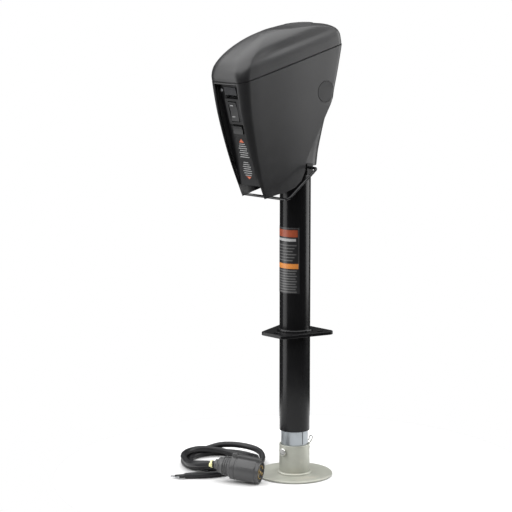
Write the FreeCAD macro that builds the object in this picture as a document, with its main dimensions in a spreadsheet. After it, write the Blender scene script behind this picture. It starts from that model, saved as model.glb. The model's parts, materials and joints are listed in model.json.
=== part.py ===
"""Electric trailer tongue jack, modelled standing on its foot pad.

Frame: +Z up along the tube axis, origin at the centre of the foot pad's underside, the switch panel
faces -Y. All sizes are millimetres. The driving dimensions are in the spreadsheet, and every height
below is measured from the ground.
"""

import FreeCAD, Part
import math
import os
import Sketcher

from FreeCAD import Placement, Rotation, Vector
from fcgear import fcgear, involute

os.makedirs("parts", exist_ok=True)
doc = FreeCAD.newDocument("TongueJack")

# ---------------------------------------------------------------- driving dimensions

DIMENSIONS = {
    # foot
    "pad_dia": 142.0, "pad_thick": 4.5, "pad_lip": 1.5,
    "socket_od": 57.15, "socket_id": 51.2, "socket_top": 60.0,
    "pin_dia": 9.5, "pin_height": 48.0, "pin_head_dia": 14.0, "pin_head_thick": 3.5,
    "pin_hole_dia": 9.62, "clip_wire": 2.0, "clip_lift": 50.0,
    # leg and column
    "leg_od": 50.8, "leg_id": 44.8, "leg_top": 515.0,
    "tube_od": 57.15, "tube_id": 51.1, "tube_bottom": 87.0, "tube_top": 700.0,
    # flange
    "flange_top": 277.0, "flange_thick": 6.0, "flange_front": 61.0, "flange_front_half": 29.0,
    "flange_rear": 46.0, "flange_rear_half": 64.0, "flange_corner": 11.0,
    "bolt_pcd": 95.0, "bolt_hole_dia": 12.0,
    # screw drive
    "screw_dia": 19.0, "screw_bottom": 95.0, "nut_length": 25.0, "nut_bore": 19.1,
    "journal_dia": 17.0, "shoulder_dia": 30.0, "shoulder_bottom": 658.0, "shoulder_thick": 6.0,
    "race_thick": 2.5, "race_od": 32.0, "race_id": 17.2, "bearing_height": 12.0, "ball_dia": 6.9,
    "ball_circle_dia": 24.0, "thrust_plate_thick": 8.0,
    # gearbox
    "case_half_width": 40.0, "case_front": 107.0, "case_rear": 42.0, "case_wall": 3.0,
    "case_floor": 5.0, "case_top": 748.0, "cover_thick": 4.0, "case_corner": 18.0,
    "motor_offset": 75.0, "mesh_gap": 0.12, "pressure_angle": 25.0,
    "module_fast": 1.25, "module_slow": 1.75, "pinion_teeth": 12.0, "idler_teeth": 42.0,
    "idler_pinion_teeth": 12.0, "output_teeth": 36.0,
    "slow_gear_bottom": 712.0, "slow_gear_thick": 14.0, "fast_gear_bottom": 730.0,
    "fast_gear_thick": 10.0, "idler_shaft_dia": 8.0, "hex_flats": 19.0, "hex_top": 824.0,
    # motor
    "can_dia": 68.0, "can_wall": 2.5, "can_bottom": 596.0, "end_cap_thick": 8.0,
    "armature_dia": 48.0, "armature_bottom": 622.0, "armature_top": 686.0, "motor_shaft_dia": 8.0,
    "magnet_inner_dia": 50.0, "commutator_dia": 24.0,
    # head shells
    "shell_wall": 3.0, "seam_front_height": 745.0, "seam_front_reach": 177.0, "seam_angle": 14.0,
    "channel_half": 28.5, "channel_top": 742.0, "liner_half": 31.3,
    "cap_dia": 59.0, "cap_top": 841.3, "cap_thick": 5.0, "cap_centre": 5.0, "cap_skirt_dia": 44.0,
    "side_plug_dia": 38.0, "side_plug_y": 27.0, "side_plug_height": 721.0, "side_plug_thick": 1.4,
    # switch panel
    "panel_angle": 16.0, "panel_foot_y": 113.0, "panel_foot_height": 557.0, "panel_length": 190.0,
    "panel_thick": 3.0, "rocker_width": 20.0, "rocker_length": 36.0, "rocker_station": 142.0,
    "light_width": 25.0, "light_length": 15.0, "light_station": 107.0, "lens_width": 30.0,
    "lens_height": 15.0, "lens_station": 180.0,
    # bail
    "bail_wire": 5.0, "bail_half": 60.0, "bail_pivot_y": -5.3, "bail_pivot_height": 584.2,
    "bail_reach_y": 78.5, "bail_reach_height": 533.7, "bracket_bottom": 571.0,
    "bracket_ear_half": 41.5, "bracket_ear_thick": 3.0, "bracket_ear_height": 20.0,
    "bracket_depth": 15.0,
    # label on the outer tube
    "label_bottom": 349.5, "label_height": 123.0, "label_half_angle": 62.0, "label_thick": 0.3,
    # harness
    "cable_dia": 11.5, "coil_across": -139.0, "coil_away": 68.0, "coil_outer": 83.5,
    "coil_inner": 49.0, "coil_height": 25.0, "plug_dia": 44.0, "plug_neck_dia": 30.0,
    "plug_barrel": 56.0, "rib_width": 9.0, "rib_height": 3.0,
}

sheet = doc.addObject("Spreadsheet::Sheet", "Sizes")
for row, (alias, value) in enumerate(DIMENSIONS.items(), start=1):
    sheet.set(f"A{row}", alias)
    sheet.set(f"B{row}", str(value))
    sheet.setAlias(f"B{row}", alias)
doc.recompute()


def size(alias):
    """A driving dimension as it stands in the spreadsheet."""
    return float(sheet.get(alias))


# ---------------------------------------------------------------- building helpers

finished = []


def publish(obj, label):
    """Give a sub-part its name and put it on the list of written pieces."""
    obj.Label = label
    finished.append(obj)
    return obj


def bind(obj, **formulas):
    """Bind properties to spreadsheet formulas; a double underscore stands for a dot."""
    for prop, formula in formulas.items():
        obj.setExpression(prop.replace("__", "."), formula)
    return obj


def cylinder(name, dia, height, base="0", x="0", y="0"):
    """An upright cylinder whose diameter, height and place are formulas."""
    obj = doc.addObject("Part::Cylinder", name)
    bind(obj, Radius=f"({dia}) / 2", Height=height, Placement__Base__x=x, Placement__Base__y=y,
         Placement__Base__z=base)
    return obj


def cut(name, base, tool):
    obj = doc.addObject("Part::Cut", name)
    obj.Base = base
    obj.Tool = tool
    return obj


def fuse(name, *shapes):
    obj = doc.addObject("Part::MultiFuse", name)
    obj.Shapes = list(shapes)
    return obj


def ring(name, outer, inner, height, base):
    """An upright tube between two diameters."""
    wall = cylinder(name + "_outside", outer, height, base)
    bore = cylinder(name + "_bore", inner, f"{height} + 2", f"{base} - 1")
    return cut(name, wall, bore)


def origin_plane(body, role):
    return next(f for f in body.Origin.OriginFeatures if f.Role == role)


def sketch_on(body, role, name):
    sketch = body.newObject("Sketcher::SketchObject", name)
    sketch.AttachmentSupport = [(origin_plane(body, role), "")]
    sketch.MapMode = "FlatFace"
    return sketch


def circle_in(sketch, formula, name):
    """A circle about the sketch's origin with its radius bound to a formula."""
    index = sketch.addGeometry(Part.Circle(Vector(0, 0, 0), Vector(0, 0, 1), 10))
    sketch.addConstraint(Sketcher.Constraint("Coincident", index, 3, -1, 1))
    number = sketch.addConstraint(Sketcher.Constraint("Radius", index, 10))
    sketch.renameConstraint(number, name)
    sketch.setExpression(f"Constraints.{name}", formula)
    return index


def outline_in(sketch, corners):
    """A closed outline of straight lines; corners are (value, formula) pairs for each coordinate."""
    points = [Vector(x[0], y[0], 0) for x, y in corners]
    lines = []
    for here, there in zip(points, points[1:] + points[:1]):
        lines.append(sketch.addGeometry(Part.LineSegment(here, there)))
    for number, line in enumerate(lines):
        following = lines[(number + 1) % len(lines)]
        sketch.addConstraint(Sketcher.Constraint("Coincident", line, 2, following, 1))
    for number, (x, y) in enumerate(corners):
        for kind, (value, formula) in (("DistanceX", x), ("DistanceY", y)):
            place = sketch.addConstraint(Sketcher.Constraint(kind, -1, 1, lines[number], 1, value))
            name = f"{kind}{number}"
            sketch.renameConstraint(place, name)
            sketch.setExpression(f"Constraints.{name}", formula)


def term(formula, value):
    """One outline coordinate: its starting value and the formula that drives it."""
    return value, formula


def pad(body, sketch, length, name="Pad"):
    feature = body.newObject("PartDesign::Pad", name)
    feature.Profile = sketch
    feature.setExpression("Length", length)
    return feature


def shape_part(label, shape, place=None):
    """A free-form piece made with the Part functions."""
    obj = doc.addObject("Part::Feature", label)
    obj.Shape = shape
    if place is not None:
        obj.Placement = place
    return publish(obj, label)


def rounded_wire(points, radii):
    """A closed wire through the points in order, each corner rounded by a tangent arc."""
    count = len(points)
    starts = []
    arcs = []
    for i in range(count):
        corner = points[i]
        back = (points[i - 1] - corner).normalize()
        ahead = (points[(i + 1) % count] - corner).normalize()
        half = back.getAngle(ahead) / 2
        reach = radii[i] / math.tan(half)
        first = corner + back * reach
        last = corner + ahead * reach
        centre_way = (back + ahead).normalize()
        middle = corner + centre_way * (radii[i] / math.sin(half) - radii[i])
        starts.append((first, last))
        arcs.append(Part.Arc(first, middle, last).toShape())
    edges = []
    for i in range(count):
        edges.append(arcs[i])
        edges.append(Part.LineSegment(starts[i][1], starts[(i + 1) % count][0]).toShape())
    return Part.Wire(edges)


def prism(points, radii, direction):
    """A straight solid from a rounded outline."""
    return Part.Face(rounded_wire(points, radii)).extrude(direction)


def tube_along(points, radii, diameter):
    """A round bar whose centreline is straight runs joined by tangent arcs; open at both ends."""
    edges = []
    start = points[0]
    for i in range(1, len(points) - 1):
        corner = points[i]
        back = (points[i - 1] - corner).normalize()
        ahead = (points[i + 1] - corner).normalize()
        half = back.getAngle(ahead) / 2
        reach = radii[i - 1] / math.tan(half)
        first = corner + back * reach
        last = corner + ahead * reach
        middle = corner + (back + ahead).normalize() * (radii[i - 1] / math.sin(half) - radii[i - 1])
        edges.append(Part.LineSegment(start, first).toShape())
        edges.append(Part.Arc(first, middle, last).toShape())
        start = last
    edges.append(Part.LineSegment(start, points[-1]).toShape())
    path = Part.Wire(edges)
    way = (points[1] - points[0]).normalize()
    section = Part.Wire(Part.makeCircle(diameter / 2, points[0], way))
    bar = path.makePipeShell([section], True, True)
    expected = math.pi * diameter ** 2 / 4 * path.Length
    if abs(bar.Volume - expected) > 0.01 * expected:
        raise RuntimeError("a bar's volume doesn't match its section times its length")
    return bar, path.Length


# ---------------------------------------------------------------- foot

body = doc.addObject("PartDesign::Body", "FootPlate")
profile = sketch_on(body, "XZ_Plane", "FootPlateProfile")
outline_in(profile, [
    (term("0", 0), term("0", 0)),
    (term("Sizes.pad_dia / 2 - Sizes.pad_lip", 69.5), term("0", 0)),
    (term("Sizes.pad_dia / 2", 71), term("Sizes.pad_lip", 1.5)),
    (term("Sizes.pad_dia / 2", 71), term("Sizes.pad_thick - 1", 3.5)),
    (term("Sizes.pad_dia / 2 - 1", 70), term("Sizes.pad_thick", 4.5)),
    (term("0", 0), term("Sizes.pad_thick", 4.5)),
])
turned = body.newObject("PartDesign::Revolution", "FootPlateTurned")
turned.Profile = profile
turned.ReferenceAxis = (profile, ["V_Axis"])
turned.Angle = 360
publish(body, "foot_plate")

socket_height = "Sizes.socket_top - Sizes.pad_thick"
socket = ring("FootSocketTube", "Sizes.socket_od", "Sizes.socket_id", socket_height,
              "Sizes.pad_thick")


def pin_bore(name):
    """A hole along Y through the foot for the clevis pin."""
    bore = cylinder(name, "Sizes.pin_hole_dia", "120", "Sizes.pin_height", y="60")
    bore.Placement.Rotation = Rotation(Vector(1, 0, 0), 90)
    return bore


publish(cut("FootSocket", socket, pin_bore("SocketPinBore")), "foot_socket")

weld = doc.addObject("Part::Cone", "FootWeldOutside")
bind(weld, Radius1="Sizes.socket_od / 2 + 5", Radius2="Sizes.socket_od / 2 + 0.6", Height="5",
     Placement__Base__z="Sizes.pad_thick")
weld_bore = cylinder("FootWeldBore", "Sizes.socket_od", "8", "Sizes.pad_thick - 1")
publish(cut("FootWeld", weld, weld_bore), "foot_weld")

leg_wall = ring("InnerLegTube", "Sizes.leg_od", "Sizes.leg_id", "Sizes.leg_top - Sizes.pad_thick",
                "Sizes.pad_thick")
publish(cut("InnerLeg", leg_wall, pin_bore("LegPinBore")), "inner_leg")

publish(ring("DriveNut", "Sizes.leg_id", "Sizes.nut_bore", "Sizes.nut_length",
             "Sizes.leg_top - Sizes.nut_length"), "drive_nut")

# clevis pin, along Y: the head is on the switch side and a cross hole takes the clip
socket_radius = size("socket_od") / 2
pin_radius = size("pin_dia") / 2
pin_height = size("pin_height")
pin_tail = socket_radius + 11
clip_y = socket_radius + 6
head_thick = size("pin_head_thick")
head = Part.makeCylinder(size("pin_head_dia") / 2, head_thick,
                         Vector(0, -socket_radius - head_thick - 0.4, pin_height), Vector(0, 1, 0))
head_front = -socket_radius - head_thick
head = head.makeFillet(1.2, [e for e in head.Edges if e.BoundBox.YMax < head_front])
shank = Part.makeCylinder(pin_radius, socket_radius * 2 + 11.4,
                          Vector(0, -socket_radius - 0.4, pin_height), Vector(0, 1, 0))
shank = shank.makeChamfer(1.0, [e for e in shank.Edges if e.BoundBox.YMin > pin_tail - 0.5])
lift = math.radians(size("clip_lift"))
clip_way = Vector(math.cos(lift), 0, math.sin(lift))
clip_hole = Part.makeCylinder(size("clip_wire") / 2 + 0.1, 30,
                              Vector(0, clip_y, pin_height) - clip_way * 15, clip_way)
shape_part("foot_pin", head.fuse(shank).cut(clip_hole).removeSplitter())

# hairpin clip: a straight leg through the pin and a bowed leg round its outside, joined by a loop.
# It is drawn lying along X through the pin and then turned up about the pin's axis.
wire = size("clip_wire")
bow = pin_radius + wire / 2 + 1.2
clip_path = [Vector(-13, 0, 0), Vector(15, 0, 0), Vector(23, 0, 1), Vector(26, 0, 6),
             Vector(20, 0, 8.5), Vector(13, 0, bow - 1.6), Vector(6, 0, bow + 0.6),
             Vector(-6, 0, bow + 0.6), Vector(-11, 0, bow + 3)]
clip, _ = tube_along(clip_path, [8.0, 4.0, 2.6, 4.0, 5.0, 5.0, 4.0], wire)
clip_turn = Rotation(Vector(0, 1, 0), -size("clip_lift"))
shape_part("hairpin_clip", clip, Placement(Vector(0, clip_y, pin_height), clip_turn))

# ---------------------------------------------------------------- column

body = doc.addObject("PartDesign::Body", "OuterTube")
section = sketch_on(body, "XY_Plane", "OuterTubeSection")
circle_in(section, "Sizes.tube_od / 2", "outside")
circle_in(section, "Sizes.tube_id / 2", "inside")
pad(body, section, "Sizes.tube_top - Sizes.tube_bottom")
bind(body, Placement__Base__z="Sizes.tube_bottom")
publish(body, "outer_tube")

body = doc.addObject("PartDesign::Body", "MountingFlange")
plan = sketch_on(body, "XY_Plane", "FlangePlan")
outline_in(plan, [
    (term("-Sizes.flange_front_half", -29), term("-Sizes.flange_front", -61)),
    (term("Sizes.flange_front_half", 29), term("-Sizes.flange_front", -61)),
    (term("Sizes.flange_rear_half", 64), term("Sizes.flange_rear", 46)),
    (term("-Sizes.flange_rear_half", -64), term("Sizes.flange_rear", 46)),
])
plate = pad(body, plan, "Sizes.flange_thick", "FlangePlate")
doc.recompute()
upright = []
for number, edge in enumerate(plate.Shape.Edges, start=1):
    if edge.BoundBox.ZLength > 1:
        upright.append(f"Edge{number}")
rounding = body.newObject("PartDesign::Fillet", "FlangeCorners")
rounding.Base = (plate, upright)
rounding.setExpression("Radius", "Sizes.flange_corner")
opening = sketch_on(body, "XY_Plane", "FlangeOpening")
circle_in(opening, "Sizes.tube_od / 2", "tube")
tube_hole = body.newObject("PartDesign::Pocket", "FlangeTubeHole")
tube_hole.Profile = opening
tube_hole.Type = "ThroughAll"
tube_hole.Reversed = True
bolt_sketch = sketch_on(body, "XY_Plane", "FlangeBoltHole")
index = bolt_sketch.addGeometry(Part.Circle(Vector(0, -47.5, 0), Vector(0, 0, 1), 6))
number = bolt_sketch.addConstraint(Sketcher.Constraint("Radius", index, 6))
bolt_sketch.renameConstraint(number, "hole")
bolt_sketch.setExpression("Constraints.hole", "Sizes.bolt_hole_dia / 2")
bolt_sketch.addConstraint(Sketcher.Constraint("PointOnObject", index, 3, -2))
number = bolt_sketch.addConstraint(Sketcher.Constraint("DistanceY", -1, 1, index, 3, -47.5))
bolt_sketch.renameConstraint(number, "place")
bolt_sketch.setExpression("Constraints.place", "-Sizes.bolt_pcd / 2")
bolt_hole = body.newObject("PartDesign::Pocket", "FlangeBoltPocket")
bolt_hole.Profile = bolt_sketch
bolt_hole.Type = "ThroughAll"
bolt_hole.Reversed = True
pattern = body.newObject("PartDesign::PolarPattern", "FlangeBoltPattern")
pattern.Originals = [bolt_hole]
pattern.Axis = (bolt_sketch, ["N_Axis"])
pattern.Angle = 360
pattern.Occurrences = 3
body.Tip = pattern
bind(body, Placement__Base__z="Sizes.flange_top - Sizes.flange_thick")
publish(body, "mounting_flange")

collar = doc.addObject("Part::Cone", "FlangeWeldOutside")
bind(collar, Radius1="Sizes.tube_od / 2 + 6", Radius2="Sizes.tube_od / 2 + 0.6", Height="6",
     Placement__Base__z="Sizes.flange_top")
collar_bore = cylinder("FlangeWeldBore", "Sizes.tube_od", "8", "Sizes.flange_top - 1")
publish(cut("FlangeWeld", collar, collar_bore), "flange_weld")

# ---------------------------------------------------------------- screw, bearing and thrust plate

bearing_bottom = "Sizes.shoulder_bottom + Sizes.shoulder_thick"
plate_bottom = f"{bearing_bottom} + Sizes.bearing_height"
publish(ring("ThrustPlate", "Sizes.tube_id", "Sizes.journal_dia + 1", "Sizes.thrust_plate_thick",
             plate_bottom), "thrust_plate")
publish(ring("LowerRace", "Sizes.race_od", "Sizes.race_id", "Sizes.race_thick", bearing_bottom),
        "bearing_race_lower")
publish(ring("UpperRace", "Sizes.race_od", "Sizes.race_id", "Sizes.race_thick",
             f"{plate_bottom} - Sizes.race_thick"), "bearing_race_upper")

ball_height = size("shoulder_bottom") + size("shoulder_thick") + size("bearing_height") / 2
BALL_COUNT = 9
balls = []
for i in range(BALL_COUNT):
    turn = 2 * math.pi * i / BALL_COUNT
    centre = Vector(math.cos(turn), math.sin(turn), 0) * (size("ball_circle_dia") / 2)
    balls.append(Part.makeSphere(size("ball_dia") / 2, centre + Vector(0, 0, ball_height)))
shape_part("bearing_balls", Part.makeCompound(balls))

thread = cylinder("ScrewThread", "Sizes.screw_dia", "Sizes.shoulder_bottom - Sizes.screw_bottom",
                  "Sizes.screw_bottom")
shoulder = cylinder("ScrewShoulder", "Sizes.shoulder_dia", "Sizes.shoulder_thick",
                    "Sizes.shoulder_bottom")
journal = cylinder("ScrewJournal", "Sizes.journal_dia",
                   "Sizes.case_top + Sizes.cover_thick + 12 - Sizes.shoulder_bottom",
                   "Sizes.shoulder_bottom")
publish(fuse("LeadScrew", thread, shoulder, journal), "lead_screw")

hex_head = doc.addObject("Part::Prism", "ManualHex")
hex_head.Polygon = 6
hex_bottom = "Sizes.case_top + Sizes.cover_thick + 12"
bind(hex_head, Circumradius="Sizes.hex_flats / 1.7320508", Height=f"Sizes.hex_top - ({hex_bottom})",
     Placement__Base__z=hex_bottom)
publish(hex_head, "manual_hex")

publish(ring("CaseBushing", "Sizes.journal_dia + 6", "Sizes.journal_dia + 0.12",
             "Sizes.case_floor", "Sizes.tube_top"), "case_bushing")

# ---------------------------------------------------------------- gears

ANGLE = size("pressure_angle")


def gear(module, teeth, thickness, bore, bottom, x, y, turn):
    """A spur gear with its axis upright, a plain bore, and one tooth at the angle turn in degrees."""
    builder = fcgear.FCWireBuilder()
    involute.CreateExternalGear(builder, module, teeth, ANGLE, True)
    wire = Part.Wire([piece.toShape() for piece in builder.wire])
    solid = Part.Face(wire).extrude(Vector(0, 0, thickness))
    solid = solid.cut(Part.makeCylinder(bore / 2, thickness + 2, Vector(0, 0, -1)))
    solid.Placement = Placement(Vector(x, y, bottom), Rotation(Vector(0, 0, 1), turn))
    return solid


pinion_teeth = int(size("pinion_teeth"))
idler_teeth = int(size("idler_teeth"))
idler_pinion_teeth = int(size("idler_pinion_teeth"))
output_teeth = int(size("output_teeth"))
fast = size("module_fast")
slow = size("module_slow")
motor_y = -size("motor_offset")
reach_fast = fast * (pinion_teeth + idler_teeth) / 2 + size("mesh_gap")
reach_slow = slow * (idler_pinion_teeth + output_teeth) / 2 + size("mesh_gap")
cosine = (reach_fast ** 2 + motor_y ** 2 - reach_slow ** 2) / (2 * reach_fast * -motor_y)
idler_x = reach_fast * math.sqrt(1 - cosine ** 2)
idler_y = motor_y + reach_fast * cosine

# at each mesh a tooth of the smaller gear points into a gap of the larger one
to_idler = math.degrees(math.atan2(idler_y - motor_y, idler_x))
back_to_motor = to_idler + 180
idler_turn = back_to_motor + 180 / idler_teeth
to_output = math.degrees(math.atan2(-idler_y, -idler_x))
output_turn = to_output + 180 + 180 / output_teeth
fast_bottom = size("fast_gear_bottom")
fast_thick = size("fast_gear_thick")
slow_bottom = size("slow_gear_bottom")
slow_thick = size("slow_gear_thick")
shaft_dia = size("motor_shaft_dia")
idler_bore = size("idler_shaft_dia") + 0.12

shape_part("motor_pinion", gear(fast, pinion_teeth, fast_thick + 1, shaft_dia, fast_bottom - 0.5, 0,
                                motor_y, to_idler))
shape_part("idler_wheel", gear(fast, idler_teeth, fast_thick, idler_bore, fast_bottom, idler_x,
                               idler_y, idler_turn))
shape_part("idler_pinion", gear(slow, idler_pinion_teeth, fast_bottom - slow_bottom + 0.5,
                                idler_bore, slow_bottom - 0.5, idler_x, idler_y, to_output))
shape_part("output_gear", gear(slow, output_teeth, slow_thick, size("journal_dia"), slow_bottom, 0,
                               0, output_turn))

case_top = size("case_top")
tube_top = size("tube_top")
case_floor = size("case_floor")
idler_axle = Part.makeCylinder(size("idler_shaft_dia") / 2, case_top - tube_top - 2,
                               Vector(idler_x, idler_y, tube_top + 2))
shape_part("idler_shaft", idler_axle)

# ---------------------------------------------------------------- gearbox case and cover


def case_outline(inset, height):
    """The gearbox's plan outline, moved inwards by inset, at a height."""
    half = size("case_half_width") - inset
    front = -size("case_front") + inset
    rear = size("case_rear") - inset
    corner = size("case_corner") - inset
    points = [Vector(-half, front, height), Vector(half, front, height), Vector(half, rear, height),
              Vector(-half, rear, height)]
    return points, [corner] * 4


def screw_places():
    """Centres of the four cover screws, in the case's corner posts."""
    across_half = size("case_half_width") - 8.2
    front = -size("case_front") + 10
    rear = size("case_rear") - 10
    return [(sx * across_half, y) for sx in (-1, 1) for y in (front, rear)]


points, radii = case_outline(0, tube_top)
case = prism(points, radii, Vector(0, 0, case_top - tube_top))
points, radii = case_outline(size("case_wall"), tube_top + case_floor)
case = case.cut(prism(points, radii, Vector(0, 0, 60)))
for x, y in screw_places():
    post = Part.makeCylinder(4.6, case_top - tube_top, Vector(x, y, tube_top))
    case = case.fuse(post)
    case = case.cut(Part.makeCylinder(2.1, 20, Vector(x, y, case_top - 14)))
case = case.cut(Part.makeCylinder(size("journal_dia") / 2 + 3, 20, Vector(0, 0, tube_top - 5)))
case = case.cut(Part.makeCylinder(size("motor_shaft_dia") / 2 + 0.5, 20,
                                  Vector(0, motor_y, tube_top - 5)))
case = case.cut(idler_axle)
shape_part("gearbox_case", case.removeSplitter())

cover_thick = size("cover_thick")
points, radii = case_outline(0, case_top)
cover = prism(points, radii, Vector(0, 0, cover_thick))
cover = cover.cut(Part.makeCylinder(size("journal_dia") / 2 + 0.3, 20, Vector(0, 0, case_top - 5)))
cover = cover.cut(Part.makeCylinder(size("motor_shaft_dia") / 2 + 1, 20,
                                    Vector(0, motor_y, case_top - 5)))
screws = []
for x, y in screw_places():
    cover = cover.cut(Part.makeCylinder(2.3, 20, Vector(x, y, case_top - 5)))
    screw_head = Part.makeCylinder(3.8, 3, Vector(x, y, case_top + cover_thick))
    screw_head = screw_head.cut(Part.makeCylinder(1.8, 2, Vector(x, y, case_top + cover_thick + 1.5)))
    shank = Part.makeCylinder(2.1, cover_thick + 12, Vector(x, y, case_top - 12))
    screws.append(screw_head.fuse(shank))
shape_part("gearbox_cover", cover)
shape_part("gearbox_screws", Part.makeCompound(screws))

# ---------------------------------------------------------------- motor

can_radius = size("can_dia") / 2
can_bottom = size("can_bottom")
inner_radius = can_radius - size("can_wall")
motor_axis = Vector(0, motor_y, 0)


def on_motor(radius, bottom, top):
    """A cylinder about the motor's axis between two heights."""
    return Part.makeCylinder(radius, top - bottom, motor_axis + Vector(0, 0, bottom))


can = on_motor(can_radius, can_bottom, tube_top)
can = can.cut(on_motor(inner_radius, can_bottom - 1, tube_top - 3))
can = can.cut(on_motor(shaft_dia / 2 + 0.5, tube_top - 5, tube_top + 1))
shape_part("motor_can", can)
end_cap = on_motor(can_radius, can_bottom - size("end_cap_thick"), can_bottom)
end_cap = end_cap.cut(on_motor(shaft_dia / 2 + 0.05, can_bottom - 5, can_bottom + 1))
end_cap = end_cap.makeFillet(2.5, [e for e in end_cap.Edges
                                   if e.BoundBox.ZMax < can_bottom - size("end_cap_thick") + 0.1])
shape_part("motor_end_cap", end_cap)
magnet_ring = on_motor(inner_radius, 618, 690).cut(on_motor(size("magnet_inner_dia") / 2, 617, 691))
gap = Part.makeBox(22, 90, 80, Vector(-11, motor_y - 45, 615))
shape_part("motor_magnets", magnet_ring.cut(gap))
armature = on_motor(size("armature_dia") / 2, size("armature_bottom"), size("armature_top"))
commutator = on_motor(size("commutator_dia") / 2, 602, size("armature_bottom"))
shaft = on_motor(shaft_dia / 2, can_bottom - 4, fast_bottom + fast_thick + 4)
shape_part("motor_shaft", shaft)
shape_part("armature", armature.cut(shaft))
shape_part("commutator", commutator.cut(shaft))
brushes = []
for side in (-1, 1):
    brush_x = side * (size("commutator_dia") / 2 + 7.3) - 7
    brushes.append(Part.makeBox(14, 8, 10, Vector(brush_x, motor_y - 4, 605)))
shape_part("motor_brushes", Part.makeCompound(brushes))
shape_part("circuit_breaker", Part.makeBox(26, 12, 20, Vector(-13, -92, case_top + cover_thick)))

# ---------------------------------------------------------------- head shells

WALL = size("shell_wall")
# height, reach to the front, reach to the rear, half widths at the front and rear, corner radii
SHELL_LEVELS = [
    (528, 107.0, 40.0, 29.5, 44.0, 8.0, 10.0),
    (551, 117.0, 42.0, 31.0, 45.0, 9.0, 10.0),
    (596, 136.0, 45.0, 34.5, 47.0, 12.0, 10.0),
    (640, 151.5, 48.0, 38.0, 49.0, 15.0, 11.0),
    (684, 164.5, 51.0, 41.0, 50.5, 17.0, 12.0),
    (717, 172.0, 54.5, 43.0, 51.5, 18.5, 13.0),
    (750, 177.5, 62.0, 45.0, 53.0, 20.0, 14.0),
    (790, 181.0, 71.0, 46.0, 54.0, 20.0, 15.0),
    (830, 183.0, 78.0, 46.0, 55.0, 20.0, 15.0),
]
# along the lid's own normal: height above the seam, then the same columns
LID_LEVELS = [
    (0, 182.2, 75.6, 44.8, 53.8, 20.0, 15.0),
    (10, 181.8, 76.5, 45.0, 53.8, 22.0, 16.0),
    (22, 176.0, 76.0, 43.5, 53.0, 25.0, 18.0),
    (36, 162.0, 66.0, 38.5, 49.0, 25.0, 20.0),
    (47, 143.0, 42.0, 32.0, 41.0, 22.0, 22.0),
    (55, 117.0, 12.0, 23.0, 28.0, 16.0, 20.0),
    (60, 92.0, -18.0, 12.0, 14.0, 8.0, 9.0),
]


def level_wire(level, inset):
    """A horizontal section of the head, moved inwards by inset."""
    height, front, rear, front_half, rear_half, front_corner, rear_corner = level
    points = [Vector(-front_half + inset, -front + inset, height),
              Vector(front_half - inset, -front + inset, height),
              Vector(rear_half - inset, rear - inset, height),
              Vector(-rear_half + inset, rear - inset, height)]
    inner_front = max(front_corner - inset, 2)
    inner_rear = max(rear_corner - inset, 2)
    return rounded_wire(points, [inner_front, inner_front, inner_rear, inner_rear])


def lofted(levels, inset):
    return Part.makeLoft([level_wire(level, inset) for level in levels], True, False)


def side_cutter(outline, corner):
    """A solid right across the head whose outline is given as (y, height)."""
    points = [Vector(-90, y, z) for y, z in outline]
    return prism(points, [corner] * len(points), Vector(180, 0, 0))


seam_tilt = Rotation(Vector(1, 0, 0), size("seam_angle"))
seam_rise = math.tan(math.radians(size("seam_angle")))
seam_middle = size("seam_front_height") + size("seam_front_reach") * seam_rise
seam_place = Placement(Vector(0, 0, seam_middle), seam_tilt)
above_seam = Part.makeBox(200, 400, 120, Vector(-100, -250, 0))
above_seam.Placement = seam_place

outside = lofted(SHELL_LEVELS, 0)
shell = outside.cut(lofted(SHELL_LEVELS, WALL))
shell = shell.cut(above_seam)
# everything behind the slanting lower edge is open
OPEN_REAR = [(-160, 505), (-106, 535), (-80, 540.5), (-60, 543.5), (-40, 550), (-25, 562),
             (-18, 578), (-16.5, 596), (-9, 613), (46, 707), (120, 740), (120, 505)]
open_rear = side_cutter(OPEN_REAR, 1.5)
shell = shell.cut(open_rear)
channel_half = size("channel_half")
channel = Part.makeBox(2 * channel_half, 120, size("channel_top") - 505,
                       Vector(-channel_half, -205, 505))
shell = shell.cut(channel)

# the liner gives the channel its two side cheeks and its ceiling, just inside the shell
liner_half = size("liner_half")
liner_outline = [(-129, 600), (-144.5, 640), (-158.5, 684), (-166, 717), (-170.5, 745), (-160, 745),
                 (-136, 670), (-112, 600)]
liner_points = [Vector(-liner_half, y, z) for y, z in liner_outline]
liner_face = Part.Face(Part.makePolygon(liner_points + liner_points[:1]))
liner = liner_face.extrude(Vector(2 * liner_half, 0, 0)).cut(channel)
shape_part("channel_liner", liner)

# the switch panel leans back from its foot, at the back of the channel
panel_angle = math.radians(size("panel_angle"))
panel_up = Vector(0, -math.sin(panel_angle), math.cos(panel_angle))
panel_out = Vector(0, -math.cos(panel_angle), -math.sin(panel_angle))
panel_foot = Vector(0, -size("panel_foot_y"), size("panel_foot_height"))
panel_length = size("panel_length")
panel_thick = size("panel_thick")


def on_panel(x, station, out):
    """A point x across, station up the panel and out from its front face."""
    return panel_foot + panel_up * station + panel_out * out + Vector(x, 0, 0)


def panel_block(x_half, low, high, back, front, corner=0.0):
    """A block on the panel: half width, stations low to high, from back to front of the face."""
    points = [on_panel(-x_half, low, back), on_panel(x_half, low, back),
              on_panel(x_half, high, back), on_panel(-x_half, high, back)]
    if corner:
        return prism(points, [corner] * 4, panel_out * (front - back))
    return Part.Face(Part.makePolygon(points + points[:1])).extrude(panel_out * (front - back))


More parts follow.
